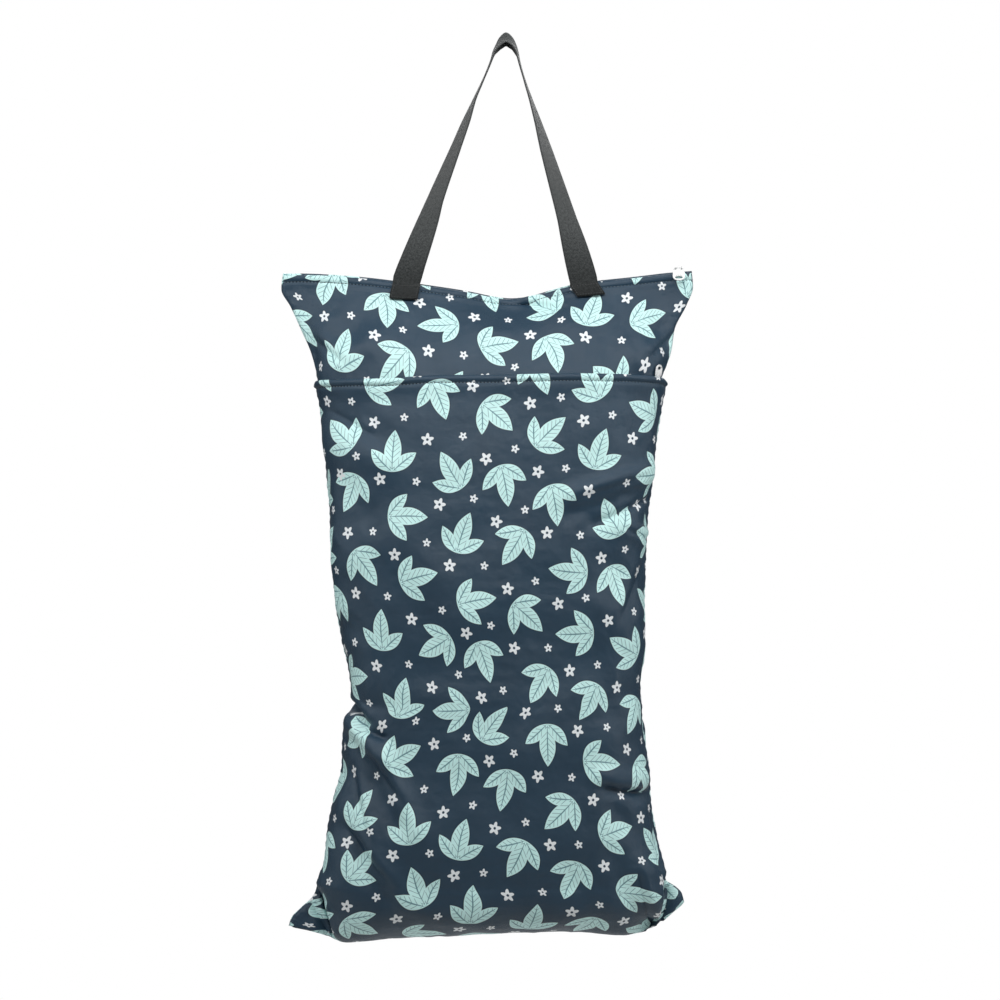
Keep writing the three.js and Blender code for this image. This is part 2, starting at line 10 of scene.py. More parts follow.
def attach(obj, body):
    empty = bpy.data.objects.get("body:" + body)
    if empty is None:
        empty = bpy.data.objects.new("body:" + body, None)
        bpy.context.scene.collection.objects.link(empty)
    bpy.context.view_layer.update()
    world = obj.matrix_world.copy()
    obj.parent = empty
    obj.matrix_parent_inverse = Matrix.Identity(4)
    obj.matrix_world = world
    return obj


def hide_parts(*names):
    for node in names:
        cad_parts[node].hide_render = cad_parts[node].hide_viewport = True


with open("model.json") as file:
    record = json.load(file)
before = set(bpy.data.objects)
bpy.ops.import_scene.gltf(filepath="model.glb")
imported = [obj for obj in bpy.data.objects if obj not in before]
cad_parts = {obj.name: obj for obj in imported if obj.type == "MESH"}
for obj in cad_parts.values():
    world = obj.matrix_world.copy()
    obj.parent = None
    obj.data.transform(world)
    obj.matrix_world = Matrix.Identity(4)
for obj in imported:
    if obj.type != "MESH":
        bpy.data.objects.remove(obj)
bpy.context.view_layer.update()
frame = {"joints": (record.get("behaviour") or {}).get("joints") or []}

mm = 0.001
radians = math.pi / 180

# Sizes are millimetres until a mesh is made. The origin is under the strap's crest, and -Y is the front.
bag = {
    "width": 403, "drop": 657.5, "depth": 130, "offset": -18.2, "mouthLevel": -233.6,
    "mouthSag": 31.5, "mouthGap": 6, "backHemRise": 2, "squareness": 3,
    "clothWall": 1.2, "hemWall": 2.2, "clearance": 0.3, "seamLip": 0.9,
    "pocketDrop": 105, "foldProud": 4.4, "foldReach": 28, "baseArc": 96,
    "easing": 7.5, "mouthEasing": 19, "mouthReach": 70,
}

# drop, left, right, depth, lip: shares of the bag's drop, half width, half width, half depth, half width
sideTable = [
    (0.0, 1.0, 0.999, 0.0, 0.26), (0.021, 1.009, 1.006, 0.12, 0.24),
    (0.048, 0.964, 0.975, 0.32, 0.16), (0.085, 0.91, 0.916, 0.55, 0.08),
    (0.116, 0.867, 0.901, 0.69, 0.04), (0.143, 0.842, 0.872, 0.77, 0.02),
    (0.162, 0.829, 0.847, 0.81, 0.01), (0.191, 0.82, 0.854, 0.88, 0),
    (0.25, 0.798, 0.825, 0.94, 0), (0.313, 0.782, 0.805, 0.98, 0),
    (0.356, 0.77, 0.787, 1.0, 0), (0.429, 0.761, 0.772, 1.0, 0),
    (0.498, 0.739, 0.767, 1.0, 0), (0.548, 0.711, 0.76, 0.99, 0),
    (0.589, 0.68, 0.75, 0.97, 0), (0.624, 0.662, 0.744, 0.96, 0),
    (0.642, 0.647, 0.751, 0.95, 0), (0.656, 0.674, 0.753, 0.95, 0),
    (0.69, 0.705, 0.762, 0.97, 0), (0.745, 0.717, 0.791, 1.0, 0),
    (0.782, 0.749, 0.795, 1.0, 0), (0.833, 0.782, 0.82, 1.0, 0),
    (0.878, 0.797, 0.856, 0.98, 0), (0.907, 0.827, 0.873, 0.94, 0),
]
# turn, left, right, lip: a share of the quarter turn under the filling, then shares of the half width
baseTable = [
    (0, 0.827, 0.873, 0), (0.2, 0.85, 0.925, 0.06), (0.4, 0.91, 0.951, 0.13),
    (0.6, 0.958, 0.958, 0.19), (0.8, 0.97, 0.962, 0.21), (1.0, 0.973, 0.963, 0.21),
]
mouthDip = [
    (-1, 0.11), (-0.91, 0.06), (-0.66, 0.19), (-0.51, 0.25), (-0.46, 0.37), (-0.3, 0.42),
    (-0.2, 0.59), (-0.08, 0.62), (-0.01, 0.75), (0.06, 0.97), (0.11, 1.0), (0.16, 0.97),
    (0.28, 0.69), (0.35, 0.5), (0.55, 0.31), (0.74, 0.2), (0.94, 0.0), (1, 0.03),
]
baseDip = [
    (-1, 0.74), (-0.82, 0.86), (-0.72, 1.0), (-0.6, 0.95), (-0.34, 0.89), (0.0, 0.85),
    (0.39, 0.81), (0.7, 0.86), (0.83, 0.8), (0.926, 0.53), (1, 0.35),
]
foldRise = [  # the pocket's folded edge, millimetres above a level line
    (-1, -3.1), (-0.87, -2.1), (-0.7, -1.8), (-0.5, -1.4), (-0.24, 0.8), (0, 1.8), (0.2, 1.8),
    (0.45, 2.6), (0.63, 2.6), (0.76, 1.7), (0.87, 1.0), (1, -1.5),
]


def curveThrough(pairs):
    # a smooth curve that never leaves the band between two neighbours
    x, y = np.array(pairs, float).T
    step = np.diff(x)
    slope = np.diff(y) / step
    tangent = np.zeros(len(x))
    same = slope[:-1] * slope[1:] > 0
    before = np.where(same, slope[:-1], 1)
    after = np.where(same, slope[1:], 1)
    near, far = 2 * step[1:] + step[:-1], step[1:] + 2 * step[:-1]
    tangent[1:-1] = np.where(same, (near + far) / (near / before + far / after), 0)
    tangent[0], tangent[-1] = slope[0], slope[-1]

    def at(place):
        place = np.clip(place, x[0], x[-1])
        i = np.clip(np.searchsorted(x, place, side="right") - 1, 0, len(x) - 2)
        t = (place - x[i]) / step[i]
        rest = 1 - t
        value = y[i] * (1 + 2 * t) * rest**2 + y[i + 1] * (1 + 2 * rest) * t**2
        return value + step[i] * (tangent[i] * t * rest**2 - tangent[i + 1] * rest * t**2)

    return at


halfWidth, halfDepth = bag["width"] / 2, bag["depth"] / 2
sideEnd = sideTable[-1][0] * bag["drop"]
baseDrop = bag["drop"] - sideEnd
seamLength = sideEnd + bag["baseArc"]  # cloth from the mouth to the base seam
sideColumns = {
    name: curveThrough([(row[0], row[i]) for row in sideTable])
    for i, name in ((1, "left"), (2, "right"), (3, "depth"), (4, "lip"))
}
baseColumns = {
    name: curveThrough([(row[0], row[i]) for row in baseTable])
    for i, name in ((1, "left"), (2, "right"), (3, "lip"))
}
mouthDipAt, baseDipAt, foldRiseAt = (curveThrough(t) for t in (mouthDip, baseDip, foldRise))


def rowAt(length):
    # sizes of the bag at a length of cloth below the mouth's corners
    drop = min(length, sideEnd) / bag["drop"]
    row = {name: float(at(drop)) for name, at in sideColumns.items()}
    row["turn"] = 0
    if length > sideEnd:
        share = min(1, (length - sideEnd) / bag["baseArc"])
        row.update({name: float(at(share)) for name, at in baseColumns.items()})
        row["depth"] *= math.cos(share * math.pi / 2)
        row["turn"] = math.sin(share * math.pi / 2)
    for name in ("left", "right", "lip"):
        row[name] *= halfWidth
    row["lip"] = max(bag["seamLip"], row["lip"])
    row["depth"] *= halfDepth
    row["level"] = bag["mouthLevel"] - min(length, sideEnd)
    row["sag"] = bag["mouthSag"] * max(0, 1 - length / bag["pocketDrop"])
    row["mouth"] = max(0, 1 - drop / sideTable[2][0])
    row["lift"] = row["proud"] = 0
    return row


def facePoints(row, across, swell, side):
    # the cloth's inner face, where across is a share of the half width
    half = np.where(across < 0, row["left"], row["right"])
    gap = bag["mouthGap"] / 2 * row["mouth"] * (1 - across**12)
    y = bag["clearance"] / 2 + gap + row["lift"] + swell * (row["depth"] + row["proud"])
    under = row["turn"] * (baseDrop * baseDipAt(across) - bag["clothWall"])
    rise = bag["backHemRise"] * row["mouth"] if side > 0 else 0
    z = row["level"] - row["sag"] * mouthDipAt(across) + rise - under
    return np.stack([bag["offset"] + across * half, side * y, z], axis=1)


def faceRow(row, side, count):
    # points at equal steps along one row, from seam to seam
    power = 2 / bag["squareness"]
    angle = np.linspace(math.pi, 0, 401)
    reach = np.sign(np.cos(angle)) * np.abs(np.cos(angle)) ** power
    swell = np.abs(np.sin(angle)) ** power
    swell[0] = swell[-1] = 0
    wall = bag["clothWall"]
    filled = {key: row[key] - row["lip"] - wall for key in ("left", "right")}
    x = np.where(reach < 0, reach * filled["left"], reach * filled["right"])
    flat = np.linspace(0, 1, 60)[1:]
    x = np.concatenate([-(filled["left"] + flat[::-1] * row["lip"]), x, filled["right"] + flat * row["lip"]])
    swell = np.concatenate([flat * 0, swell, flat * 0])
    across = np.where(x < 0, x / row["left"], x / row["right"])
    points = facePoints(row, across, swell, side)
    run = np.concatenate([[0], np.cumsum(np.linalg.norm(np.diff(points, axis=0), axis=1))])
    places = np.linspace(0, run[-1], count)
    return np.stack([np.interp(places, run, points[:, i]) for i in range(3)], axis=1)


def soften(points, reach):
    # rounds the place where the flat cloth meets the filling, and leaves the seams alone
    step = bag["width"] / (points.shape[1] - 1)
    for _ in range(round(2 * (reach / step) ** 2)):
        middle = (points[:, :-2] + 2 * points[:, 1:-1] + points[:, 2:]) / 4
        points = np.concatenate([points[:, :1], middle, points[:, -1:]], axis=1)
    return points


def foldRow(length):
    # the front panel's fold stands off the yoke, and lies back against the bag lower down
    share = (length - bag["pocketDrop"]) / bag["foldReach"]
    row = rowAt(length)
    if share < 1:
        left = (1 + math.cos(math.pi * max(0, share))) / 2
        row["lift"] = (bag["clothWall"] + bag["clearance"]) * left
        row["left"] += row["lift"]
        row["right"] += bag["foldProud"] * left
        row["proud"] = bag["foldProud"] * left - row["lift"]
    return row


def faceGrid(lengths, side, count, makeRow=rowAt):
    # the yoke runs out into its flat corners more gently than the sides below it
    points = soften(np.array([faceRow(makeRow(x), side, count) for x in lengths]), bag["easing"])
    gentle = soften(points, bag["mouthEasing"])
    share = np.clip(1.5 - np.asarray(lengths) / bag["mouthReach"], 0, 1)[:, None, None]
    return points + (gentle - points) * share


def gridNormals(points, side):
    across = np.gradient(points, axis=1)
    down = np.gradient(points, axis=0)
    normal = np.cross(down, across) * -side
    return normal / np.maximum(np.linalg.norm(normal, axis=2, keepdims=True), 1e-9)


# Folds and wrinkles in front: x and z of both ends, how wide, how proud (a valley is below 0)
frontFolds = [
    ((-150, -655, -137, -673), 4.5, -5.5), ((-137, -673, -120, -683), 5, -4.2),
    ((-157, -668, -118, -705), 9, 3.2), ((-146, -694, -104, -768), 10, -3.4),
    ((-122, -700, -88, -770), 11, 2.6), ((-152, -720, -140, -800), 9, -3),
    ((-158, -775, -118, -838), 10, -3.4), ((-140, -770, -96, -840), 11, 2.2),
    ((-163, -368, -128, -392), 14, -3), ((-160, -395, -120, -420), 13, 2),
    ((-165, -430, -135, -470), 14, -2.2), ((-160, -300, -118, -270), 16, -2.4),
    ((-170, -330, -128, -305), 12, 1.8),
    ((68, -452, 136, -432), 9, 2.8), ((86, -478, 142, -450), 9, -3), ((62, -470, 110, -452), 8, -2),
    ((112, -484, 140, -498), 8, 2.2), ((104, -520, 140, -556), 12, -2.6), ((92, -560, 134, -606), 13, 2),
    ((98, -735, 140, -742), 6, -3.6), ((92, -722, 138, -728), 9, 2.6), ((108, -760, 140, -800), 11, -2.6),
    ((128, -792, 148, -872), 10, 2.4), ((104, -800, 132, -868), 12, -2.6),
    ((-40, -266, -10, -300), 16, 2), ((30, -280, 60, -318), 15, -2.2), ((120, -262, 96, -310), 14, -2.4),
    ((142, -262, 128, -318), 12, 1.8), ((-96, -292, -76, -322), 13, -1.8),
    ((-60, -620, 20, -640), 24, -1.6), ((-90, -500, -40, -560), 26, 1.6), ((20, -700, 84, -690), 22, 1.6),
    ((-30, -810, 60, -822), 20, -1.8), ((-84, -850, -30, -862), 12, 1.8), ((40, -856, 104, -852), 12, 1.6),
]
earFolds = [  # the empty corners of the base fold away from the filling
    ((-186, -846, -172, -880), 5.5, -6.5), ((-196, -858, -182, -886), 8, 2.6),
    ((156, -834, 145, -878), 5, -6.5), ((168, -840, 158, -872), 7, 3),
]
backFolds = [
    ((140, -650, 116, -676), 8, -4), ((150, -668, 112, -704), 10, 2.8), ((-150, -655, -120, -680), 6, -4.6),
    ((-146, -694, -104, -768), 11, -3), ((-165, -390, -110, -420), 15, -3), ((-150, -420, -96, -446), 14, 2.2),
    ((70, -440, 138, -470), 12, -3), ((84, -420, 140, -446), 12, 2.4), ((60, -590, 130, -640), 18, -2.6),
    ((-130, -560, -60, -620), 20, 2.2), ((-20, -330, 60, -350), 16, -2.4), ((-96, -300, -40, -330), 16, 2),
    ((90, -300, 130, -340), 14, -2.2), ((-70, -740, 40, -760), 22, -2.4), ((104, -790, 140, -850), 12, -3),
    ((-140, -800, -100, -860), 12, 2.6), ((0, -840, 80, -852), 14, 2),
]


# Narrow creases: x and z of both ends, how wide, how deep, how proud the cloth that laps over them is
frontCreases = [
    ((-154, -651, -137, -665), 2.2, 4.6, 3.0), ((-139, -680, -118, -685), 2.2, 3.2, 2.0),
    ((-131, -702, -102, -744), 2.8, 2.8, 2.0), ((-147, -722, -133, -780), 2.6, 2.4, 1.8),
    ((-150, -777, -119, -817), 2.6, 2.8, 2.0), ((-168, -372, -128, -396), 3.2, 1.8, 1.6),
    ((99, -734, 132, -741), 2.2, 3.4, 2.2), ((138, -751, 151, -817), 2.4, 2.8, 2.0),
    ((128, -817, 141, -869), 2.4, 3.2, 2.2), ((73, -454, 136, -433), 3.2, 2.0, 2.2),
    ((92, -477, 141, -454), 2.6, 2.8, 1.8), ((115, -484, 138, -496), 2.4, 2.4, 1.6),
    ((131, -520, 112, -568), 3.0, 1.8, 1.6), ((14, -265, 53, -270), 2.2, 2.6, 2.2),
    ((-181, -852, -170, -884), 2.4, 4.4, 2.4), ((157, -836, 147, -876), 2.4, 4.4, 2.2),
    ((-186, -300, -160, -322), 3.0, 2.0, 1.8), ((168, -292, 140, -318), 3.0, 2.0, 1.6),
]
backCreases = [
    ((154, -651, 135, -667), 2.4, 4.0, 2.6), ((-148, -652, -120, -668), 2.4, 3.4, 2.2),
    ((128, -700, 104, -748), 2.8, 2.6, 1.8), ((-136, -430, -84, -446), 3.0, 2.2, 1.8),
    ((-142, -760, -122, -812), 2.6, 2.6, 1.8), ((140, -420, 92, -442), 3.0, 2.2, 1.8),
    ((-181, -852, -170, -884), 2.4, 4.0, 2.2), ((157, -836, 147, -876), 2.4, 4.0, 2.2),
]
crumpling = {"across": 30, "down": 46, "bend": 0.7, "height": 2.6, "calm": 0.25, "from": 0.42}


def creaseHeight(points, creases):
    total = np.zeros(points.shape[:2])
    x, z = points[..., 0], points[..., 2]
    for (x1, z1, x2, z2), wide, deep, lap in creases:
        dx, dz = x2 - x1, z2 - z1
        size = math.hypot(dx, dz)
        along = ((x - x1) * dx + (z - z1) * dz) / size**2
        off = ((x - x1) * dz - (z - z1) * dx) / size * (1 if dx > 0 else -1)
        taper = np.exp(-((np.maximum(0, np.abs(along - 0.5) - 0.35) / 0.22) ** 2))
        total -= deep * taper * np.exp(-((off / wide) ** 2))
        total += lap * taper * np.exp(-(((off + 2.4 * wide) / (1.7 * wide)) ** 2))
    return total


def crumple(points, lengths, seed):
    # sharp low ridges, calm in the middle of the bag and busier at its sides and base
    values = []
    for x, y, z in points.reshape(-1, 3):
        place = Vector((x / crumpling["across"] + z / 150, seed, z / crumpling["down"]))
        bent = place + crumpling["bend"] * noise.noise_vector(place * 0.6)
        values.append(0.25 - abs(noise.noise(bent)) + 0.3 * (0.25 - abs(noise.noise(bent * 2.3))))
    across = np.abs(np.linspace(-1, 1, points.shape[1]))
    busy = np.clip((across - crumpling["from"]) / 0.35, 0, 1)[None, :]
    low = np.clip((lengths - 540) / 90, 0, 1)[:, None]
    share = crumpling["calm"] + (1 - crumpling["calm"]) * np.maximum(busy, 0.5 * low)
    return crumpling["height"] * share * np.array(values).reshape(points.shape[:2])


def foldHeight(points, folds):
    total = np.zeros(points.shape[:2])
    x, z = points[..., 0], points[..., 2]
    for (x1, z1, x2, z2), wide, proud in folds:
        dx, dz = x2 - x1, z2 - z1
        size = math.hypot(dx, dz)
        along = ((x - x1) * dx + (z - z1) * dz) / size**2
        off = ((x - x1) * dz - (z - z1) * dx) / size
        past = np.maximum(0, np.maximum(-along, along - 1)) * size
        taper = np.exp(-((past / (1.3 * wide)) ** 2))
        total += proud * taper * np.exp(-((off / wide) ** 2))
    return total


def lumps(points, size, seed):
    flat = points.reshape(-1, 3) / size
    values = [noise.noise(Vector((p[0], p[1] + seed, p[2]))) for p in flat]
    return np.array(values).reshape(points.shape[:2])


def cubicSteps(values, places):
    # reads a table between its rows, smoothly, along its first side
    last = len(values) - 1
    i = np.clip(np.floor(places).astype(int), 0, last - 1)
    t = (places - i).reshape((-1,) + (1,) * (values.ndim - 1))
    a, b = values[np.maximum(i - 1, 0)], values[i]
    c, d = values[i + 1], values[np.minimum(i + 2, last)]
    return b + t / 2 * (c - a + t * (2 * a - 5 * b + 4 * c - d + t * (3 * (b - c) + d - a)))


# How the cloth settles over the filling
settling = {
    "step": 6.0, "frames": 24, "slackAcross": 1.004, "slackDown": 1.014, "pressure": 1.5,
    "bend": 0.35, "hold": 0.42, "mass": 0.006, "cap": 7.0, "lumpSize": 85, "lumpHeight": 4.6,
    "foldBoost": 1.45,
}


def clothGrid(side):
    # the filled shape that the cloth is laid on, with the filling's lumps and the folds
    step = settling["step"]
    lengths = np.linspace(0, seamLength, int(seamLength / step) + 1)
    count = int(bag["width"] / step) + 1
    points = faceGrid(lengths, side, count)
    normals = gridNormals(points, side)
    across = np.linspace(0, 1, count)
    calm = np.minimum(1, np.minimum(across, 1 - across) / 0.05)[None, :]
    calm = calm * np.clip((lengths - 10) / 40, 0, 1)[:, None]
    calm = calm * np.clip((seamLength - lengths) / 30, 0, 1)[:, None]
    height = settling["lumpHeight"] * lumps(points, settling["lumpSize"], 3.0 + side)
    height += 0.4 * settling["lumpHeight"] * lumps(points, settling["lumpSize"] / 2.3, 9.0 + side)
    height += settling["foldBoost"] * foldHeight(points, frontFolds if side < 0 else backFolds)
    height = height * calm + foldHeight(points, earFolds) * np.minimum(1, calm * 3)
    return lengths, points, normals * height[..., None]


def settleCloth(name, lengths, points, shift):
    rows, columns = points.shape[:2]
    start = (points + shift).reshape(-1, 3) * mm
    faces = [
        (r * columns + c, (r + 1) * columns + c, (r + 1) * columns + c + 1, r * columns + c + 1)
        for r in range(rows - 1) for c in range(columns - 1)
    ]
    if points[rows // 2, columns // 2, 1] > 0:
        faces = [face[::-1] for face in faces]
    mesh = bpy.data.meshes.new(name)
    mesh.from_pydata(start.tolist(), [], faces)
    trial = bpy.data.objects.new(name, mesh)
    bpy.context.scene.collection.objects.link(trial)
    trial.shape_key_add(name="worn")
    cut = trial.shape_key_add(name="cut")  # the flat cloth, with a little slack
    run = np.linalg.norm(np.diff(points[:, columns // 2], axis=0), axis=1)
    down = np.concatenate([[0], np.cumsum(run)]) * settling["slackDown"]
    wide = np.linalg.norm(np.diff(points, axis=1), axis=2).sum(axis=1).max() * settling["slackAcross"]
    flat = np.zeros((rows, columns, 3))
    flat[..., 0] = np.linspace(-wide / 2, wide / 2, columns)[None, :]
    flat[..., 2] = -down[:, None]
    cut.data.foreach_set("co", (flat * mm).ravel())
    hold = trial.vertex_groups.new(name="hold")
    edge = {0, 1, rows - 2, rows - 1}
    for r in range(rows):
        for c in range(columns):
            pinned = r in edge or c in (0, columns - 1)
            hold.add([r * columns + c], 1.0 if pinned else settling["hold"], "REPLACE")
    cloth = trial.modifiers.new("cloth", "CLOTH")
    cloth.settings.rest_shape_key = cut
    cloth.settings.vertex_group_mass = "hold"
    cloth.settings.quality = 6
    cloth.settings.mass = settling["mass"]
    cloth.settings.bending_stiffness = settling["bend"]
    cloth.settings.use_pressure = True
    cloth.settings.uniform_pressure_force = settling["pressure"]
    cloth.settings.effector_weights.gravity = 0
    cloth.collision_settings.use_collision = False
    scene = bpy.context.scene
    cloth.point_cache.frame_start = 1
    cloth.point_cache.frame_end = settling["frames"]
    for number in range(1, settling["frames"] + 1):
        scene.frame_set(number)
    worn = trial.evaluated_get(bpy.context.evaluated_depsgraph_get())
    result = np.zeros(rows * columns * 3)
    worn.data.vertices.foreach_get("co", result)
    scene.frame_set(1)
    moved = (result.reshape(-1, 3) - start) / mm
    size = np.linalg.norm(moved, axis=1, keepdims=True)
    cap = settling["cap"]
    moved *= cap * np.tanh(size / cap) / np.maximum(size, 1e-6)
    bpy.data.objects.remove(trial)
    print("settled", name, "mean move", round(float(size.mean()), 2), "most", round(float(size.max()), 2))
    return shift + moved.reshape(rows, columns, 3)


settled = {}
for side, name in ((-1, "front cloth"), (1, "back cloth")):
    lengths, points, shift = clothGrid(side)
    shift = settleCloth(name, lengths, points, shift)
    settled[side] = shift


def settledAt(side, lengths, count):
    table = settled[side]
    down = np.clip(lengths / seamLength, 0, 1) * (len(table) - 1)
    rows = cubicSteps(table, down)
    across = np.linspace(0, table.shape[1] - 1, count)
    return cubicSteps(rows.transpose(1, 0, 2), across).transpose(1, 0, 2)


def makeMesh(name, points, faces, uv=None, smooth=True):
    # points are millimetres, and uv has one pair for each point
    mesh = bpy.data.meshes.new(name)
    mesh.from_pydata((np.asarray(points, float).reshape(-1, 3) * mm).tolist(), [], faces)
    if uv is not None:
        layer = mesh.uv_layers.new(name="cloth")
        corners = np.zeros(len(mesh.loops), int)
        mesh.loops.foreach_get("vertex_index", corners)
        layer.data.foreach_set("uv", (np.asarray(uv, float)[corners] * mm).ravel())
    if smooth:
        mesh.shade_smooth()
    mesh.update()
    piece = bpy.data.objects.new(name, mesh)
    bpy.context.scene.collection.objects.link(piece)
    return piece


def gridFaces(rows, columns, flipped=False):
    faces = []
    for r in range(rows - 1):
        for c in range(columns - 1):
            a = r * columns + c
            face = (a, a + columns, a + columns + 1, a + 1)
            faces.append(face[::-1] if flipped else face)
    return faces


def clothUv(points, lengths, shiftU, shiftV, returns=0):
    # the flat cloth's own millimetres, across and down, with any turned-in rows laid out straight
    rows, columns = points.shape[:2]
    middle = points[:, columns // 2]
    run = np.concatenate([[0], np.cumsum(np.linalg.norm(np.diff(middle, axis=0), axis=1))])
    run -= run[returns]
    u = np.linspace(-halfWidth, halfWidth, columns)[None, :].repeat(rows, 0) + shiftU
    v = -run[:, None].repeat(columns, 1) + shiftV
    return np.stack([u, v], axis=2).reshape(-1, 2)


# Rows of a turned edge: length from the edge and how far the cloth stands off its inner face there
hemProfile = [
    (9, 0.1), (6, 0.0), (3, 0.0), (1.2, 0.05), (0.3, 0.4), (0.0, 1.1), (0.3, 1.8), (1.2, 2.25),
    (2.6, 2.5), (4.2, 2.45), (5.6, 2.0), (6.4, 1.3), (6.9, 0.95), (7.4, 1.2), (8.6, 1.65), (10.5, 1.5),
    (13.5, 1.25),
]
foldProfile = [
    (12, 0.3), (8, 0.1), (4, 0.0), (1.8, 0.05), (0.6, 0.5), (0.0, 1.5), (0.5, 2.5), (1.5, 3.1),
    (2.8, 3.5), (4.2, 3.3), (5.4, 2.4), (6.2, 1.5), (6.8, 1.05), (7.4, 1.35), (8.6, 1.85), (11, 1.7),
    (14, 1.4),
]
hemEdgeRow = 5  # the row of each profile that is the edge itself
stitchLine = 6.8  # from the edge to its row of stitches
panels = {
    "rowStep": 2.6, "columns": 161, "skin": 1.15, "turnedWall": 0.5, "pucker": 0.5,
    "puckerStep": 9.0,
}


def panelGrid(side, start, end, profile, makeRow, edgeCurve=None):
    # inner face, cloth and lengths of a panel that has a turned edge at the top and runs to the end
    body = np.arange(start + profile[-1][0] + panels["rowStep"], end, panels["rowStep"])
    lengths = np.array([start + x for x, _ in profile] + list(body) + [end])
    skins = np.array([s for _, s in profile] + [panels["skin"]] * (len(body) + 1))
    count = panels["columns"]
    ordered, back = np.unique(lengths, return_inverse=True)
    face = faceGrid(ordered, side, count, makeRow)
    if edgeCurve is not None:
        across = np.linspace(-1, 1, count)
        fade = np.exp(-(((ordered - start) / 34) ** 2))
        face[..., 2] += fade[:, None] * edgeCurve(across)[None, :]
    normals = gridNormals(face, side)
    face = face + settledAt(side, ordered, count)
    across = np.abs(np.linspace(-1, 1, count))
    rim = np.clip((1 - across) / 0.03, 0, 1)[None, :] * np.clip((seamLength - ordered) / 14, 0, 1)[:, None]
    creased = creaseHeight(face, frontCreases if side < 0 else backCreases)
    creased += crumple(face, ordered, 4.0 - side) * np.clip((ordered - start - 8) / 20, 0, 1)[:, None]
    face = face + normals * (creased * rim)[..., None]
    normals = gridNormals(face, side)
    face, normals = face[back], normals[back]
    across = np.linspace(0, 1, count)
    nearSeam = np.exp(-np.minimum(across, 1 - across) * bag["width"] / 7)[None, :]
    ripple = np.sin(2 * math.pi * lengths / panels["puckerStep"])[:, None] * panels["pucker"]
    skin = skins[:, None] + ripple * nearSeam
    skin[:, 0] = skin[:, -1] = 0.2
    cloth = face + normals * skin[..., None]
    # both panels' edges meet in one seam, apart from the pocket's mouth, which stays open
    mouthOpen = np.clip(1 - (lengths - start) / bag["foldReach"], 0, 1) if start > 0 else 0 * lengths
    cloth[:, [0, -1], 1] *= mouthOpen[:, None]
    if end == seamLength:
        cloth[-1, :, 1] = 0
    return cloth, normals, lengths


def clothPiece(name, side, cloth, lengths, wall, uvShift, returns):
    rows, columns = cloth.shape[:2]
    uv = clothUv(cloth, lengths, *uvShift, returns)
    piece = makeMesh(name, cloth, gridFaces(rows, columns, side > 0), uv)
    solidify = piece.modifiers.new("thickness", "SOLIDIFY")
    solidify.thickness = wall * mm
    solidify.offset = -1
    solidify.use_even_offset = False
    return piece


yokeEnd = bag["pocketDrop"] + 9
yokeCloth, yokeNormals, yokeLengths = panelGrid(-1, 0, yokeEnd, hemProfile, rowAt)
frontCloth, frontNormals, frontLengths = panelGrid(
    -1, bag["pocketDrop"], seamLength, foldProfile, foldRow, foldRiseAt
)
backCloth, backNormals, backLengths = panelGrid(1, 0, seamLength, hemProfile, rowAt)
frontYoke = clothPiece("yokeCloth", -1, yokeCloth, yokeLengths, panels["turnedWall"], (7, 3), hemEdgeRow)
frontPanel = clothPiece("pocketPanelCloth", -1, frontCloth, frontLengths, panels["turnedWall"], (31, -140), hemEdgeRow)
backPanel = clothPiece("backCloth", 1, backCloth, backLengths, panels["turnedWall"], (-19, 52), hemEdgeRow)
print("panels", len(frontYoke.data.polygons), len(frontPanel.data.polygons), len(backPanel.data.polygons))


def frontPlace(length, across):
    # a place on the yoke's inner face and its outward direction, at a share of the half width
    row = rowAt(length)
    half = row["left"] if across < 0 else row["right"]
    reach = min(1, abs(across) * half / (half - row["lip"] - bag["clothWall"]))
    swell = (1 - reach ** bag["squareness"]) ** (1 / bag["squareness"])
    return facePoints(row, np.array([float(across)]), swell, -1)[0]


# Strap
strap = {
    "width": 27.2, "wall": 1.5, "fold": 78, "ridge": 0.15, "lift": 0.7, "edge": 0.35, "ringStep": 2.2,
    "turnedIn": 15, "boxInset": 1.8,
}
# out and down along the way to the seat, quarter turns from edge-on to flat, share of the fold
leftRun = [
    (0.057, 0.014, 0, 0.66), (0.099, 0.045, 0.01, 0.28), (0.128, 0.071, 0.03, 0.12),
    (0.152, 0.105, 0.045, 0.05), (0.231, 0.185, 0.06, 0), (0.321, 0.265, 0.093, 0),
    (0.407, 0.354, 0.21, 0), (0.515, 0.464, 0.27, 0), (0.713, 0.663, 0.43, 0),
    (0.782, 0.743, 0.55, 0), (0.943, 0.918, 0.82, 0),
]
rightRun = [
    (0.074, 0.014, 0, 0.66), (0.129, 0.047, 0.01, 0.26), (0.158, 0.08, 0.03, 0.1),
    (0.172, 0.105, 0.045, 0.05), (0.24, 0.185, 0.055, 0), (0.324, 0.265, 0.1, 0),
    (0.416, 0.354, 0.18, 0), (0.52, 0.464, 0.295, 0), (0.79, 0.743, 0.51, 0),
    (0.896, 0.862, 0.74, 0),
]
leftSeat = {"hem": -0.392, "end": -0.403, "sewn": 17}
rightSeat = {"hem": 0.466, "end": 0.499, "sewn": 14}


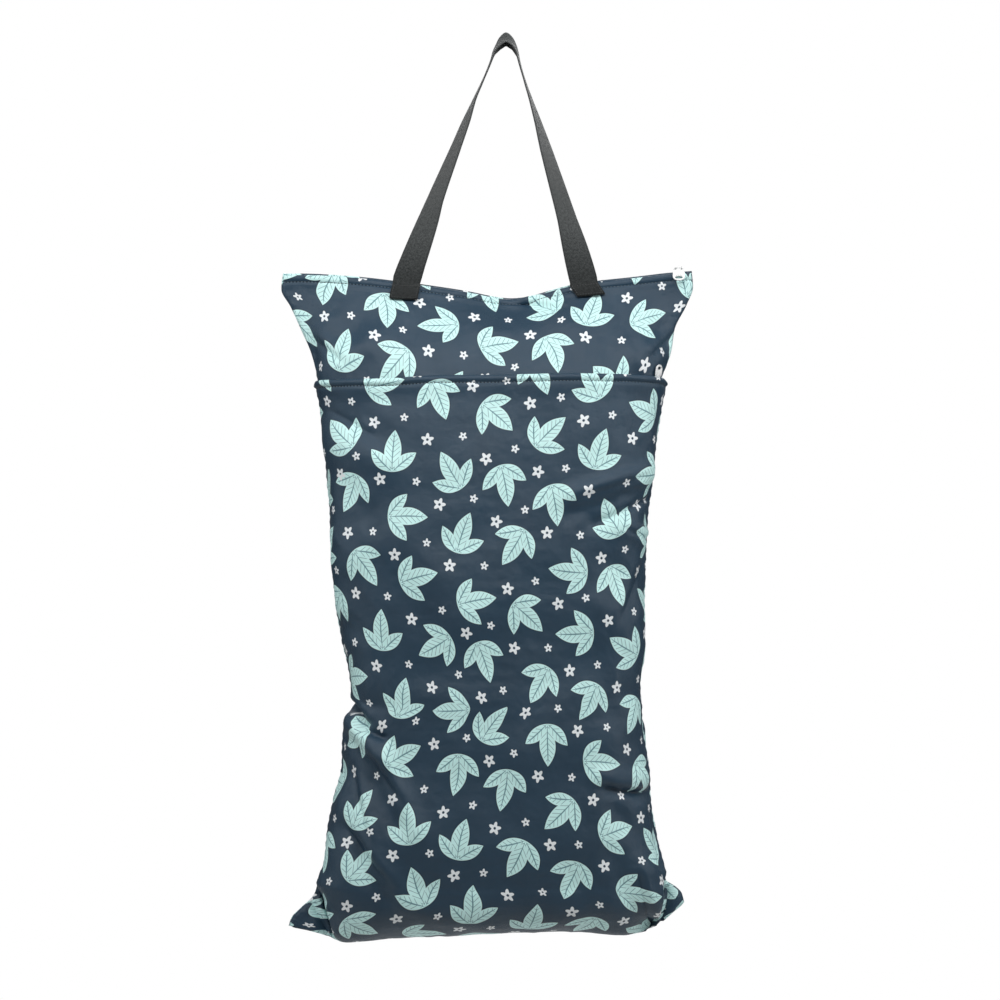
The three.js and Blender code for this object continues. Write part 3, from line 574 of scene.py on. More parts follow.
def smoothPath(points, perSpan):
    # centripetal curve through the points, with its direction at each step
    points = [np.array(p, float) for p in points]
    ends = [2 * points[0] - points[1]] + points + [2 * points[-1] - points[-2]]
    places, values = [], []
    for i in range(1, len(ends) - 2):
        p = ends[i - 1:i + 3]
        gaps = [max(1e-4, np.linalg.norm(p[k + 1] - p[k])) ** 0.5 for k in range(3)]
        t1 = (p[1] - p[0]) / gaps[0] - (p[2] - p[0]) / (gaps[0] + gaps[1]) + (p[2] - p[1]) / gaps[1]
        t2 = (p[2] - p[1]) / gaps[1] - (p[3] - p[1]) / (gaps[1] + gaps[2]) + (p[3] - p[2]) / gaps[2]
        t1, t2 = t1 * gaps[1], t2 * gaps[1]
        for j in range(perSpan):
            t = j / perSpan
            values.append(
                (2 * t**3 - 3 * t**2 + 1) * p[1] + (t**3 - 2 * t**2 + t) * t1
                + (3 * t**2 - 2 * t**3) * p[2] + (t**3 - t**2) * t2
            )
            places.append(i - 1 + t)
    values.append(points[-1])
    places.append(len(points) - 1)
    return np.array(places), np.array(values)


def hemTop(seat):
    place = frontPlace(0, seat["hem"])
    return place - np.array([0, bag["hemWall"] + strap["lift"] + strap["wall"], 0])


def strapRings():
    stations = []
    for seat, run, left in ((leftSeat, leftRun, True), (rightSeat, rightRun, False)):
        top = hemTop(seat)
        rows = [((out * top[0], down * top[1], down * top[2]), turn, fold) for out, down, turn, fold in run]
        rows.append(((top[0], 0.985 * top[1], 0.985 * top[2]), 1, 0))
        stations += rows[::-1] if left else [((0, 0, strap["wall"] / 2), 0, 1)] + rows
    places, centres = smoothPath([row[0] for row in stations], 8)
    turns = np.interp(places, range(len(stations)), [row[1] for row in stations])
    folds = np.interp(places, range(len(stations)), [row[2] for row in stations])
    for _ in range(3):
        turns[1:-1] = (turns[:-2] + 2 * turns[1:-1] + turns[2:]) / 4
    tangents = np.gradient(centres, axis=0)
    tangents /= np.linalg.norm(tangents, axis=1, keepdims=True)
    rings = []
    for centre, tangent, turn, fold in zip(centres, tangents, turns, folds):
        outward = Vector((-tangent[2], 0, tangent[0])).normalized()
        along = Vector(tangent)
        front = along.cross(outward).normalized()
        outward = front.cross(along)
        angle = turn * math.pi / 2
        normal = outward * math.cos(angle) + front * math.sin(angle)
        width = front * math.cos(angle) - outward * math.sin(angle)
        rings.append((Vector(centre), normal, width, fold))
    return rings


sectionPlaces = [-1, -0.965, -0.86, -0.6, -0.3, -0.15, -0.075, 0, 0.075, 0.15, 0.3, 0.6, 0.86, 0.965, 1]


def sectionWall(place):
    # the webbing is a little thinner at its woven edges
    near = max(0, (abs(place) - 0.9) / 0.1)
    return strap["wall"] / 2 * (1 - 0.55 * near**2)


def ringSection(ring):
    centre, normal, width, fold = ring
    half = strap["width"] / 2
    bend = max(fold * strap["fold"] * radians, 0.001)
    layers = ([], [])
    for place in sectionPlaces:
        size, sign = abs(place), (place > 0) - (place < 0)
        angle = bend * min(1, size / strap["ridge"])
        straight = max(0, size - strap["ridge"])
        arc = strap["ridge"] / bend
        across = sign * half * (arc * math.sin(angle) + straight * math.cos(bend))
        down = half * (arc * (1 - math.cos(angle)) + straight * math.sin(bend))
        for layer, way in zip(layers, (1, -1)):
            skin = way * sectionWall(place)
            point = centre + width * (across + sign * skin * math.sin(angle))
            layer.append(point + normal * (skin * math.cos(angle) - down))
    return layers[0] + layers[1][::-1]


def sewnSections(seat):
    # the end lies on the hem, turns under itself at the bottom and comes back up beneath
    inward = 1 if seat["hem"] < 0 else -1
    wall = strap["wall"]
    low = seat["sewn"]
    path = [(0.05 * low, 1.5), (0.2 * low, 1.5), (0.4 * low, 1.5), (0.6 * low, 1.5), (0.8 * low, 1.5)]
    path += [(low - 1.6, 1.46), (low - 0.5, 1.3), (low, 1.0), (low - 0.5, 0.7), (low - 1.6, 0.54)]
    path += [(0.8 * low, 0.5), (0.6 * low, 0.5), (0.4 * low, 0.5), (0.2 * low, 0.5)]
    lines = []
    for place in sectionPlaces:
        line = []
        for length, layer in path:
            share = length / low
            middle = seat["hem"] + (seat["end"] - seat["hem"]) * share
            across = middle + inward * place * strap["width"] / 2 / halfWidth
            point = frontPlace(length, across)
            line.append(point - np.array([0, bag["hemWall"] + strap["lift"] + layer * wall, 0]))
        lines.append(line)
    lines = np.array(lines)
    tangent = np.gradient(lines, axis=1)
    across = np.gradient(lines, axis=0)
    normal = np.cross(tangent, across) * (1 if inward > 0 else -1)
    normal /= np.linalg.norm(normal, axis=2, keepdims=True)
    if normal[len(lines) // 2, 1, 1] > 0:
        normal = -normal
    sections = []
    for i in range(len(path)):
        skins = [sectionWall(place) for place in sectionPlaces]
        outer = [Vector(lines[c, i] + normal[c, i] * skins[c]) for c in range(len(lines))]
        inner = [Vector(lines[c, i] - normal[c, i] * skins[c]) for c in range(len(lines))]
        sections.append(outer + inner[::-1])
    return sections


def strapPiece():
    free = [ringSection(ring) for ring in strapRings()]
    sections = sewnSections(leftSeat)[::-1] + free + sewnSections(rightSeat)
    count = len(sections[0])
    points = np.array([[list(p) for p in section] for section in sections])
    run = np.concatenate([[0], np.cumsum(np.linalg.norm(np.diff(points.mean(axis=1), axis=0), axis=1))])
    across = np.array(sectionPlaces) * strap["width"] / 2
    uv = [(x, y) for y in run for x in list(across) + list(across[::-1])]
    faces = []
    for r in range(len(sections) - 1):
        for c in range(count):
            nextColumn = (c + 1) % count
            faces.append((r * count + c, r * count + nextColumn, (r + 1) * count + nextColumn, (r + 1) * count + c))
    last = (len(sections) - 1) * count
    half = count // 2
    for c in range(half - 1):
        faces.append((c, c + 1, count - 2 - c, count - 1 - c)[::-1])
        faces.append((last + c, last + c + 1, last + count - 2 - c, last + count - 1 - c))
    piece = makeMesh("webbingStrap", points, faces, uv)
    mesh = piece.data
    solid = bmesh.new()
    solid.from_mesh(mesh)
    bmesh.ops.recalc_face_normals(solid, faces=solid.faces)
    solid.to_mesh(mesh)
    solid.free()
    return piece, run[-1]


webbingStrap, strapLength = strapPiece()
print("strap", round(strapLength), "mm")


# Zips and their sliders
zips = {
    "depth": 2, "height": 2.4, "end": 0.965, "toothPitch": 1.5, "toothLength": 2.9, "toothHeight": 1.5,
    "tapeWall": 0.5, "coilWidth": 4.6,
}
slider = {
    "length": 9, "width": 6, "wall": 1.2, "earWall": 1.1, "barRadius": 0.6, "barHeight": 1.9,
    "knuckleWall": 0.7, "knuckleLength": 4.6, "keel": 1, "topRoll": 50,
    "pocketPlace": 0.955, "pocketShift": 1.8, "pocketLean": 20,
}
pull = {"width": 12, "length": 14.5, "wall": 1.5, "slotWidth": 7.2, "slotHeight": 2.7, "round": 0.35, "droop": 16}


def turnedAbout(degrees, axis):
    return Matrix.Rotation(degrees * radians, 4, axis)


def loft(rings, closed=True):
    # one ring of points after another; a ring is closed, and the run of rings may be too
    count = len(rings[0])
    points = [p for ring in rings for p in ring]
    faces = []
    spans = len(rings) if closed else len(rings) - 1
    for r in range(spans):
        s = (r + 1) % len(rings)
        for c in range(count):
            d = (c + 1) % count
            faces.append((r * count + c, r * count + d, s * count + d, s * count + c))
    if not closed:
        faces.append(tuple(range(count))[::-1])
        faces.append(tuple(range(len(points) - count, len(points))))
    return points, faces


def superRound(count, halfX, halfZ, power, centre=(0, 0)):
    ring = []
    for i in range(count):
        angle = 2 * math.pi * i / count
        c, s = math.cos(angle), math.sin(angle)
        x = math.copysign(abs(c) ** (2 / power), c) * halfX
        z = math.copysign(abs(s) ** (2 / power), s) * halfZ
        ring.append((centre[0] + x, centre[1] + z))
    return ring


def placed(shapes, matrix):
    # joins shapes and puts them in place
    points, faces = [], []
    for more, ends in shapes:
        faces += [tuple(i + len(points) for i in face) for face in ends]
        points += [matrix @ Vector(p) for p in more]
    return points, faces


def bar(radius, length, centre, axis, sides=16):
    # round bar with softened ends
    ring = []
    for along, share in ((-0.5, 0.72), (-0.47, 0.93), (-0.42, 1), (0.42, 1), (0.47, 0.93), (0.5, 0.72)):
        line = []
        for i in range(sides):
            a = 2 * math.pi * i / sides
            p = (along * length, radius * share * math.cos(a), radius * share * math.sin(a))
            p = p if axis == "X" else (p[1], p[0], p[2]) if axis == "Y" else (p[1], p[2], p[0])
            line.append(tuple(centre[k] + p[k] for k in range(3)))
        ring.append(line)
    return loft(ring, closed=False)


def softBlock(size, centre, power=5, count=28, axis=1):
    # moulded block: rounded in plan and at its rims
    rings = []
    for level, share in ((-0.5, 0.8), (-0.46, 0.94), (-0.36, 1), (0.36, 1), (0.46, 0.94), (0.5, 0.8)):
        others = [k for k in range(3) if k != axis]
        line = []
        for x, z in superRound(count, size[others[0]] / 2 * share, size[others[1]] / 2 * share, power):
            p = [0, 0, 0]
            p[axis] = centre[axis] + level * size[axis]
            p[others[0]] = centre[others[0]] + x
            p[others[1]] = centre[others[1]] + z
            line.append(tuple(p))
        rings.append(line)
    return loft(rings, closed=False)


def pullShapes():
    # a tab with a slot, hanging down from the sleeve that runs round the hinge bar
    wide, low = pull["width"] / 2, -pull["length"]
    hole = slider["barRadius"] + bag["clearance"]
    sleeve = hole + slider["knuckleWall"]
    neck = slider["knuckleLength"] / 2
    shoulder = -sleeve - 0.7
    outline = [(-neck, -sleeve * 0.6), (-neck, shoulder + 0.3), (-neck - 0.8, shoulder - 0.5), (-wide + 1.4, shoulder - 0.9)]
    outline += [(-wide + 0.5, shoulder - 1.4), (-wide + 0.08, shoulder - 2.6), (-wide, low + 5.2)]
    outline += [(-wide * math.cos(a), low + 4.6 - 4.6 * math.sin(a)) for a in np.linspace(0.1, math.pi / 2, 9)]
    outline += [(-x, z) for x, z in outline[-2::-1]]
    middle = (0, low + pull["slotHeight"] / 2 + 2.1)
    rim = []
    for x, z in outline:
        a = math.atan2((z - middle[1]) * 1.1, x)
        c, s = math.cos(a), math.sin(a)
        rim.append((
            middle[0] + math.copysign(abs(c) ** 0.7, c) * pull["slotWidth"] / 2,
            middle[1] + math.copysign(abs(s) ** 0.9, s) * pull["slotHeight"] / 2,
        ))
    half, soft = pull["wall"] / 2, pull["round"]
    centre = (0, (low + shoulder) / 2)
    rings = []
    for edge, inset, y in (
        ("out", soft, half), ("out", 0.3 * soft, half - 0.3 * soft), ("out", 0, half - soft),
        ("out", 0, -half + soft), ("out", 0.3 * soft, -half + 0.3 * soft), ("out", soft, -half),
        ("in", soft, -half), ("in", 0, -half + soft), ("in", 0, half - soft), ("in", soft, half),
    ):
        line = []
        for (x, z), (rx, rz) in zip(outline, rim):
            if edge == "out":
                dx, dz = centre[0] - x, centre[1] - z
                size = math.hypot(dx, dz)
                line.append((x + dx / size * inset, y, z + dz / size * inset))
            else:
                dx, dz = rx - middle[0], rz - middle[1]
                size = math.hypot(dx, dz)
                line.append((rx + dx / size * inset, y, rz + dz / size * inset))
        rings.append(line)
    tab = loft(rings)
    tube = []
    for along, share in ((-0.5, 0.9), (-0.47, 1), (0.47, 1), (0.5, 0.9), (0.5, 0), (-0.5, 0)):
        radius = hole if share == 0 else hole + (sleeve - hole) * share
        tube.append([
            (along * slider["knuckleLength"], radius * math.cos(a), radius * math.sin(a))
            for a in np.linspace(0, 2 * math.pi, 20, endpoint=False)
        ])
    return [tab, loft(tube)]


def sliderShapes(barShift, keelRise=0):
    # plate, two ears and the hinge bar, with the keel that goes down to the zip
    length, width, wall = slider["length"], slider["width"], slider["wall"]
    earX = slider["knuckleLength"] / 2 + bag["clearance"] + slider["earWall"] / 2
    earHeight = slider["barHeight"] + slider["barRadius"] + bag["clearance"]
    earY = bag["clearance"] - wall - earHeight / 2
    shapes = [softBlock((length, wall, width), (0, -wall / 2, 0), 3.2)]
    for side in (-1, 1):
        shapes.append(softBlock((slider["earWall"], earHeight, 2.4), (side * earX, earY, barShift), 3, 20))
    shapes.append(bar(slider["barRadius"], 2 * earX, (0, -wall - slider["barHeight"], barShift), "X"))
    if keelRise:
        height = keelRise + wall / 2 + zips["depth"] - bag["clearance"]
        points, faces = softBlock((length / 2, slider["keel"], height), (0, 0, wall / 2 - height / 2), 4)
        tilt = turnedAbout(90 - slider["topRoll"], "X")
        shapes.append(([tilt @ Vector(p) for p in points], faces))
    return shapes


def solidPiece(name, shapes, matrix):
    points, faces = placed(shapes, matrix)
    piece = makeMesh(name, [list(p) for p in points], faces)
    solid = bmesh.new()
    solid.from_mesh(piece.data)
    bmesh.ops.recalc_face_normals(solid, faces=solid.faces)
    solid.to_mesh(piece.data)
    solid.free()
    piece.data.shade_smooth()
    return piece


topRise = slider["width"] / 2 * math.sin(slider["topRoll"] * radians) + bag["clearance"]
topTurn = turnedAbout(slider["topRoll"] - 90, "X")
hinge = Matrix.Translation((0, -slider["wall"] - slider["barHeight"], 0))
# the slider sits so that its bar lies on the pin of the joint
topPin = Vector(frame["joints"][0]["pos_m"]) / mm
topFrame = Matrix.Translation(topPin - topTurn @ hinge.translation) @ topTurn
topSlider = solidPiece("topSliderBody", sliderShapes(0, topRise), topFrame)
topPull = solidPiece("topPullTab", pullShapes(), topFrame @ hinge @ turnedAbout(pull["droop"], "X"))

pocketLength = bag["pocketDrop"] + 0.5 + bag["clearance"] + slider["width"] / 2


def tapePlace(length, across):
    return Vector(frontPlace(length, across)) - Vector((0, bag["clearance"] - 0.6, 0))


pocketSeat = tapePlace(pocketLength, slider["pocketPlace"])
alongZip = (tapePlace(pocketLength, slider["pocketPlace"] + 0.004) - pocketSeat).normalized()
upZip = tapePlace(pocketLength - 0.8, slider["pocketPlace"]) - pocketSeat
inwardZip = upZip.cross(alongZip).normalized()
acrossZip = alongZip.cross(inwardZip)
pocketFrame = Matrix((alongZip, inwardZip, acrossZip)).transposed().to_4x4()
pocketFrame.translation = pocketSeat
pocketHinge = Matrix.Translation((0, -slider["wall"] - slider["barHeight"], slider["pocketShift"]))
pocketTurn = turnedAbout(180 + slider["pocketLean"], "X")
pocketSlider = solidPiece("pocketSliderBody", sliderShapes(slider["pocketShift"]), pocketFrame)
pocketPull = solidPiece("pocketPullTab", pullShapes(), pocketFrame @ pocketHinge @ pocketTurn)
print("sliders", [round(x, 2) for x in topFrame.translation], [round(x, 2) for x in pocketSeat])


def tapeStrip(name, upper, lower, wall):
    # a flat tape between two lines of points
    points = np.array([upper, (upper + lower) / 2, lower])
    run = np.concatenate([[0], np.cumsum(np.linalg.norm(np.diff(upper, axis=0), axis=1))])
    drop = np.linalg.norm(lower - upper, axis=1).mean()
    uv = [(u, -drop * r / 2) for r in range(3) for u in run]
    piece = makeMesh(name, points, gridFaces(3, len(upper)), uv)
    solidify = piece.modifiers.new("thickness", "SOLIDIFY")
    solidify.thickness = wall * mm
    solidify.offset = 0
    return piece


count = 161
mouthAcross = np.linspace(-zips["end"], zips["end"], count)
mouthLine = np.array([frontPlace(0, a) for a in mouthAcross])
gap = np.maximum(0.35, -mouthLine[:, 1] - bag["clearance"] - 0.3)
zipLevel = mouthLine[:, 2] - zips["depth"] - 0.8
edgeLine = np.stack([mouthLine[:, 0], gap, zipLevel], axis=1)
topTape = tapeStrip("topZipTape", edgeLine, edgeLine * [1, -1, 1], zips["tapeWall"])
topTeeth = np.stack([mouthLine[:, 0], 0 * gap, zipLevel + 0.25], axis=1)

tapeAcross = np.linspace(-0.93, 0.93, count)
tapeRows = [np.array([frontPlace(bag["pocketDrop"] + x, a) for a in tapeAcross]) for x in (-2, 10)]
for row in tapeRows:
    row[:, 1] += 1.6
pocketTape = tapeStrip("pocketZipTape", tapeRows[0], tapeRows[1], zips["tapeWall"])
pocketTeeth = np.array([frontPlace(pocketLength, a) for a in tapeAcross]) + [0, 0.9, 0]


# Rows of small pieces, such as stitches and zip teeth
def rowTree():
    tree = bpy.data.node_groups.new("row of pieces", "GeometryNodeTree")
    face = tree.interface
    face.new_socket("Path", in_out="INPUT", socket_type="NodeSocketGeometry")
    for name, value in (("Pitch", 0.0028), ("Length", 0.002), ("Width", 0.0006), ("Height", 0.0006)):
        face.new_socket(name, in_out="INPUT", socket_type="NodeSocketFloat").default_value = value
    face.new_socket("Finish", in_out="INPUT", socket_type="NodeSocketMaterial")
    face.new_socket("Pieces", in_out="OUTPUT", socket_type="NodeSocketGeometry")
    nodes, link = tree.nodes, tree.links.new
    start, end = nodes.new("NodeGroupInput"), nodes.new("NodeGroupOutput")
    curve = nodes.new("GeometryNodeMeshToCurve")
    steps = nodes.new("GeometryNodeResampleCurve")
    steps.mode = "LENGTH"
    tangent = nodes.new("GeometryNodeInputTangent")
    upward = nodes.new("GeometryNodeInputNamedAttribute")
    upward.data_type = "FLOAT_VECTOR"
    upward.inputs["Name"].default_value = "upward"
    along = nodes.new("FunctionNodeAlignRotationToVector")
    along.axis = "X"
    roll = nodes.new("FunctionNodeAlignRotationToVector")
    roll.axis, roll.pivot_axis = "Z", "X"
    bead = nodes.new("GeometryNodeMeshIcoSphere")
    bead.inputs["Radius"].default_value = 0.5
    bead.inputs["Subdivisions"].default_value = 2
    smooth = nodes.new("GeometryNodeSetShadeSmooth")
    size = nodes.new("ShaderNodeCombineXYZ")
    copies = nodes.new("GeometryNodeInstanceOnPoints")
    real = nodes.new("GeometryNodeRealizeInstances")
    finish = nodes.new("GeometryNodeSetMaterial")
    link(start.outputs["Path"], curve.inputs["Mesh"])
    link(curve.outputs["Curve"], steps.inputs["Curve"])
    link(start.outputs["Pitch"], steps.inputs["Length"])
    link(steps.outputs["Curve"], copies.inputs["Points"])
    link(tangent.outputs["Tangent"], along.inputs["Vector"])
    link(along.outputs["Rotation"], roll.inputs["Rotation"])
    link(upward.outputs["Attribute"], roll.inputs["Vector"])
    link(roll.outputs["Rotation"], copies.inputs["Rotation"])
    link(bead.outputs["Mesh"], smooth.inputs["Geometry"])
    link(smooth.outputs["Geometry"], copies.inputs["Instance"])
    for source, target in (("Length", "X"), ("Width", "Y"), ("Height", "Z")):
        link(start.outputs[source], size.inputs[target])
    link(size.outputs["Vector"], copies.inputs["Scale"])
    link(copies.outputs["Instances"], real.inputs["Geometry"])
    link(real.outputs["Geometry"], finish.inputs["Geometry"])
    link(start.outputs["Finish"], finish.inputs["Material"])
    link(finish.outputs["Geometry"], end.inputs["Pieces"])
    return tree


pieceRow = rowTree()


def rowPiece(name, paths, upward, material, pitch, length, width, height):
    # paths are lines of points in millimetres, with the outward direction at each point
    points, edges, ups = [], [], []
    for path, ways in zip(paths, upward):
        first = len(points)
        points += [tuple(np.array(p) * mm) for p in path]
        ups += [tuple(way) for way in ways]
        edges += [(first + i, first + i + 1) for i in range(len(path) - 1)]
    mesh = bpy.data.meshes.new(name + "Path")
    mesh.from_pydata(points, edges, [])
    mesh.attributes.new("upward", "FLOAT_VECTOR", "POINT").data.foreach_set("vector", np.array(ups).ravel())
    holder = bpy.data.objects.new(name + "Path", mesh)
    bpy.context.scene.collection.objects.link(holder)
    modifier = holder.modifiers.new("pieces", "NODES")
    modifier.node_group = pieceRow
    values = {"Pitch": pitch, "Length": length, "Width": width, "Height": height}
    for item in pieceRow.interface.items_tree:
        if item.in_out == "INPUT" and item.name in values:
            modifier[item.identifier] = values[item.name] * mm
        elif item.in_out == "INPUT" and item.name == "Finish":
            modifier[item.identifier] = material
    shown = holder.evaluated_get(bpy.context.evaluated_depsgraph_get())
    baked = bpy.data.meshes.new_from_object(shown)
    baked.name = name
    if not baked.materials:
        baked.materials.append(material)
    bpy.data.objects.remove(holder)
    piece = bpy.data.objects.new(name, baked)
    bpy.context.scene.collection.objects.link(piece)
    return piece


# Finishes
def newFinish(name, **values):
    finish = bpy.data.materials.new(name)
    finish.use_nodes = True
    surface = finish.node_tree.nodes["Principled BSDF"]
    for key, value in values.items():
        surface.inputs[key].default_value = value
    return finish, finish.node_tree, surface


def calc(tree, operation, *values):
    node = tree.nodes.new("ShaderNodeMath")
    node.operation = operation
    for socket, value in zip(node.inputs, values):
        if isinstance(value, (int, float)):
            socket.default_value = value
        else:
            tree.links.new(value, socket)
    return node.outputs[0]


def vectorCalc(tree, operation, first, second=None, scale=None):
    node = tree.nodes.new("ShaderNodeVectorMath")
    node.operation = operation
    tree.links.new(first, node.inputs[0])
    if isinstance(second, tuple):
        node.inputs[1].default_value = second
    elif second is not None:
        tree.links.new(second, node.inputs[1])
    if scale is not None:
        node.inputs["Scale"].default_value = scale
    return node.outputs["Value" if operation in ("DISTANCE", "LENGTH") else "Vector"]


def mixColour(tree, factor, first, second, blend="MIX"):
    node = tree.nodes.new("ShaderNodeMix")
    node.data_type, node.blend_type = "RGBA", blend
    for socket, value in ((node.inputs[0], factor), (node.inputs[6], first), (node.inputs[7], second)):
        if isinstance(value, (tuple, int, float)):
            socket.default_value = value
        else:
            tree.links.new(value, socket)
    return node.outputs[2]


def sharp(tree, value, blur):
    # 1 where the value is above 0, with a narrow soft edge
    share = calc(tree, "DIVIDE", value, blur)
    node = tree.nodes.new("ShaderNodeClamp")
    tree.links.new(calc(tree, "ADD", share, 0.5), node.inputs["Value"])
    return node.outputs[0]


def splitXyz(tree, vector):
    node = tree.nodes.new("ShaderNodeSeparateXYZ")
    tree.links.new(vector, node.inputs[0])
    return node.outputs


def noiseValue(tree, vector, scale, detail=2.0, rough=0.5):
    node = tree.nodes.new("ShaderNodeTexNoise")
    node.inputs["Scale"].default_value = scale
    node.inputs["Detail"].default_value = detail
    node.inputs["Roughness"].default_value = rough
    if vector is not None:
        tree.links.new(vector, node.inputs["Vector"])
    return node.outputs[0]


def addBump(tree, surface, height, strength, distance):
    node = tree.nodes.new("ShaderNodeBump")
    node.inputs["Strength"].default_value = strength
    node.inputs["Distance"].default_value = distance
    tree.links.new(height, node.inputs["Height"])
    tree.links.new(node.outputs[0], surface.inputs["Normal"])


def clothUvMillimetres(tree):
    uv = tree.nodes.new("ShaderNodeUVMap")
    uv.uv_map = "cloth"
    return vectorCalc(tree, "SCALE", uv.outputs[0], scale=1000.0)


# Tossed leaf sprigs and small blossoms, printed on navy. Sizes are millimetres.
leafPrint = {
    "cell": 57.0, "scatter": 0.16, "skew": 0.5, "tilt": 17, "blur": 0.22, "outline": 0.9, "base": -19.0,
    "leaves": ((0, 41, 17.0), (48, 30, 12.5), (-48, 30, 12.5)),
    "blossoms": (((-0.6875, -0.375), 6.4), ((-0.3125, -0.625), 4.3)),
    "navy": (0.018, 0.051, 0.088, 1), "deepNavy": (0.010, 0.025, 0.044, 1),
    "aqua": (0.62, 0.90, 0.88, 1), "vein": (0.13, 0.28, 0.31, 1), "white": (0.80, 0.84, 0.86, 1),
}


def skewed(tree, vector, share):
    # slides each row of cells along by a share of its height
    x, y, _ = splitXyz(tree, vector)
    joined = tree.nodes.new("ShaderNodeCombineXYZ")
    tree.links.new(calc(tree, "ADD", x, calc(tree, "MULTIPLY", y, share)), joined.inputs[0])
    tree.links.new(y, joined.inputs[1])
    return joined.outputs[0]


def tossedCell(tree, place, shift):
    # each cell's own coordinates in millimetres, turned its own way
    cell = leafPrint["cell"]
    slant = tree.nodes.new("ShaderNodeVectorRotate")
    slant.rotation_type = "Z_AXIS"
    slant.inputs["Angle"].default_value = leafPrint["tilt"] * radians
    tree.links.new(place, slant.inputs["Vector"])
    small = vectorCalc(tree, "SCALE", slant.outputs[0], scale=1 / cell)
    small = vectorCalc(tree, "ADD", skewed(tree, small, leafPrint["skew"]), shift + (0.0,))
    cells = tree.nodes.new("ShaderNodeTexVoronoi")
    cells.voronoi_dimensions = "2D"
    cells.inputs["Scale"].default_value = 1.0
    cells.inputs["Randomness"].default_value = leafPrint["scatter"]
    tree.links.new(small, cells.inputs["Vector"])
    local = vectorCalc(tree, "SUBTRACT", small, cells.outputs["Position"])
    local = vectorCalc(tree, "SCALE", skewed(tree, local, -leafPrint["skew"]), scale=cell)
    toss = tree.nodes.new("ShaderNodeTexWhiteNoise")
    tree.links.new(cells.outputs["Color"], toss.inputs["Vector"])
    turn = tree.nodes.new("ShaderNodeVectorRotate")
    turn.rotation_type = "Z_AXIS"
    tree.links.new(local, turn.inputs["Vector"])
    tree.links.new(calc(tree, "MULTIPLY", toss.outputs["Value"], 2 * math.pi), turn.inputs["Angle"])
    return turn.outputs[0]


def leafShape(tree, local, degrees, length, width):
    turn = tree.nodes.new("ShaderNodeVectorRotate")
    turn.rotation_type = "Z_AXIS"
    turn.inputs["Angle"].default_value = degrees * radians
    tree.links.new(vectorCalc(tree, "SUBTRACT", local, (leafPrint["base"], 0, 0)), turn.inputs["Vector"])
    a, b, _ = splitXyz(tree, turn.outputs[0])
    share = calc(tree, "DIVIDE", a, length)
    arch = calc(tree, "MULTIPLY", share, calc(tree, "SUBTRACT", 1.0, share))
    side = calc(tree, "ABSOLUTE", calc(tree, "SUBTRACT", b, calc(tree, "MULTIPLY", arch, 0.1 * length)))
    body = calc(tree, "SUBTRACT", calc(tree, "MULTIPLY", arch, 2.0 * width), side)
    middle = calc(tree, "SUBTRACT", calc(tree, "MULTIPLY", arch, 2.6), side)
    wave = calc(tree, "FRACT", calc(tree, "DIVIDE", calc(tree, "SUBTRACT", a, side), 5.2))
    ribs = calc(tree, "SUBTRACT", 0.06, calc(tree, "ABSOLUTE", calc(tree, "SUBTRACT", wave, 0.5)))
    ribs = calc(tree, "MINIMUM", calc(tree, "MULTIPLY", ribs, 5.2), calc(tree, "SUBTRACT", body, 1.3))
    return body, calc(tree, "MAXIMUM", middle, ribs)


def blossomShape(tree, local, radius):
    # five round petals about a small open middle
    x, y, _ = splitXyz(tree, local)
    away = vectorCalc(tree, "LENGTH", local)
    petals = calc(tree, "COSINE", calc(tree, "MULTIPLY", calc(tree, "ARCTAN2", y, x), 5.0))
    rim = calc(tree, "ADD", calc(tree, "MULTIPLY", petals, 0.24 * radius), 0.76 * radius)
    inside = calc(tree, "SUBTRACT", away, 0.2 * radius)
    return calc(tree, "MINIMUM", calc(tree, "SUBTRACT", rim, away), inside)


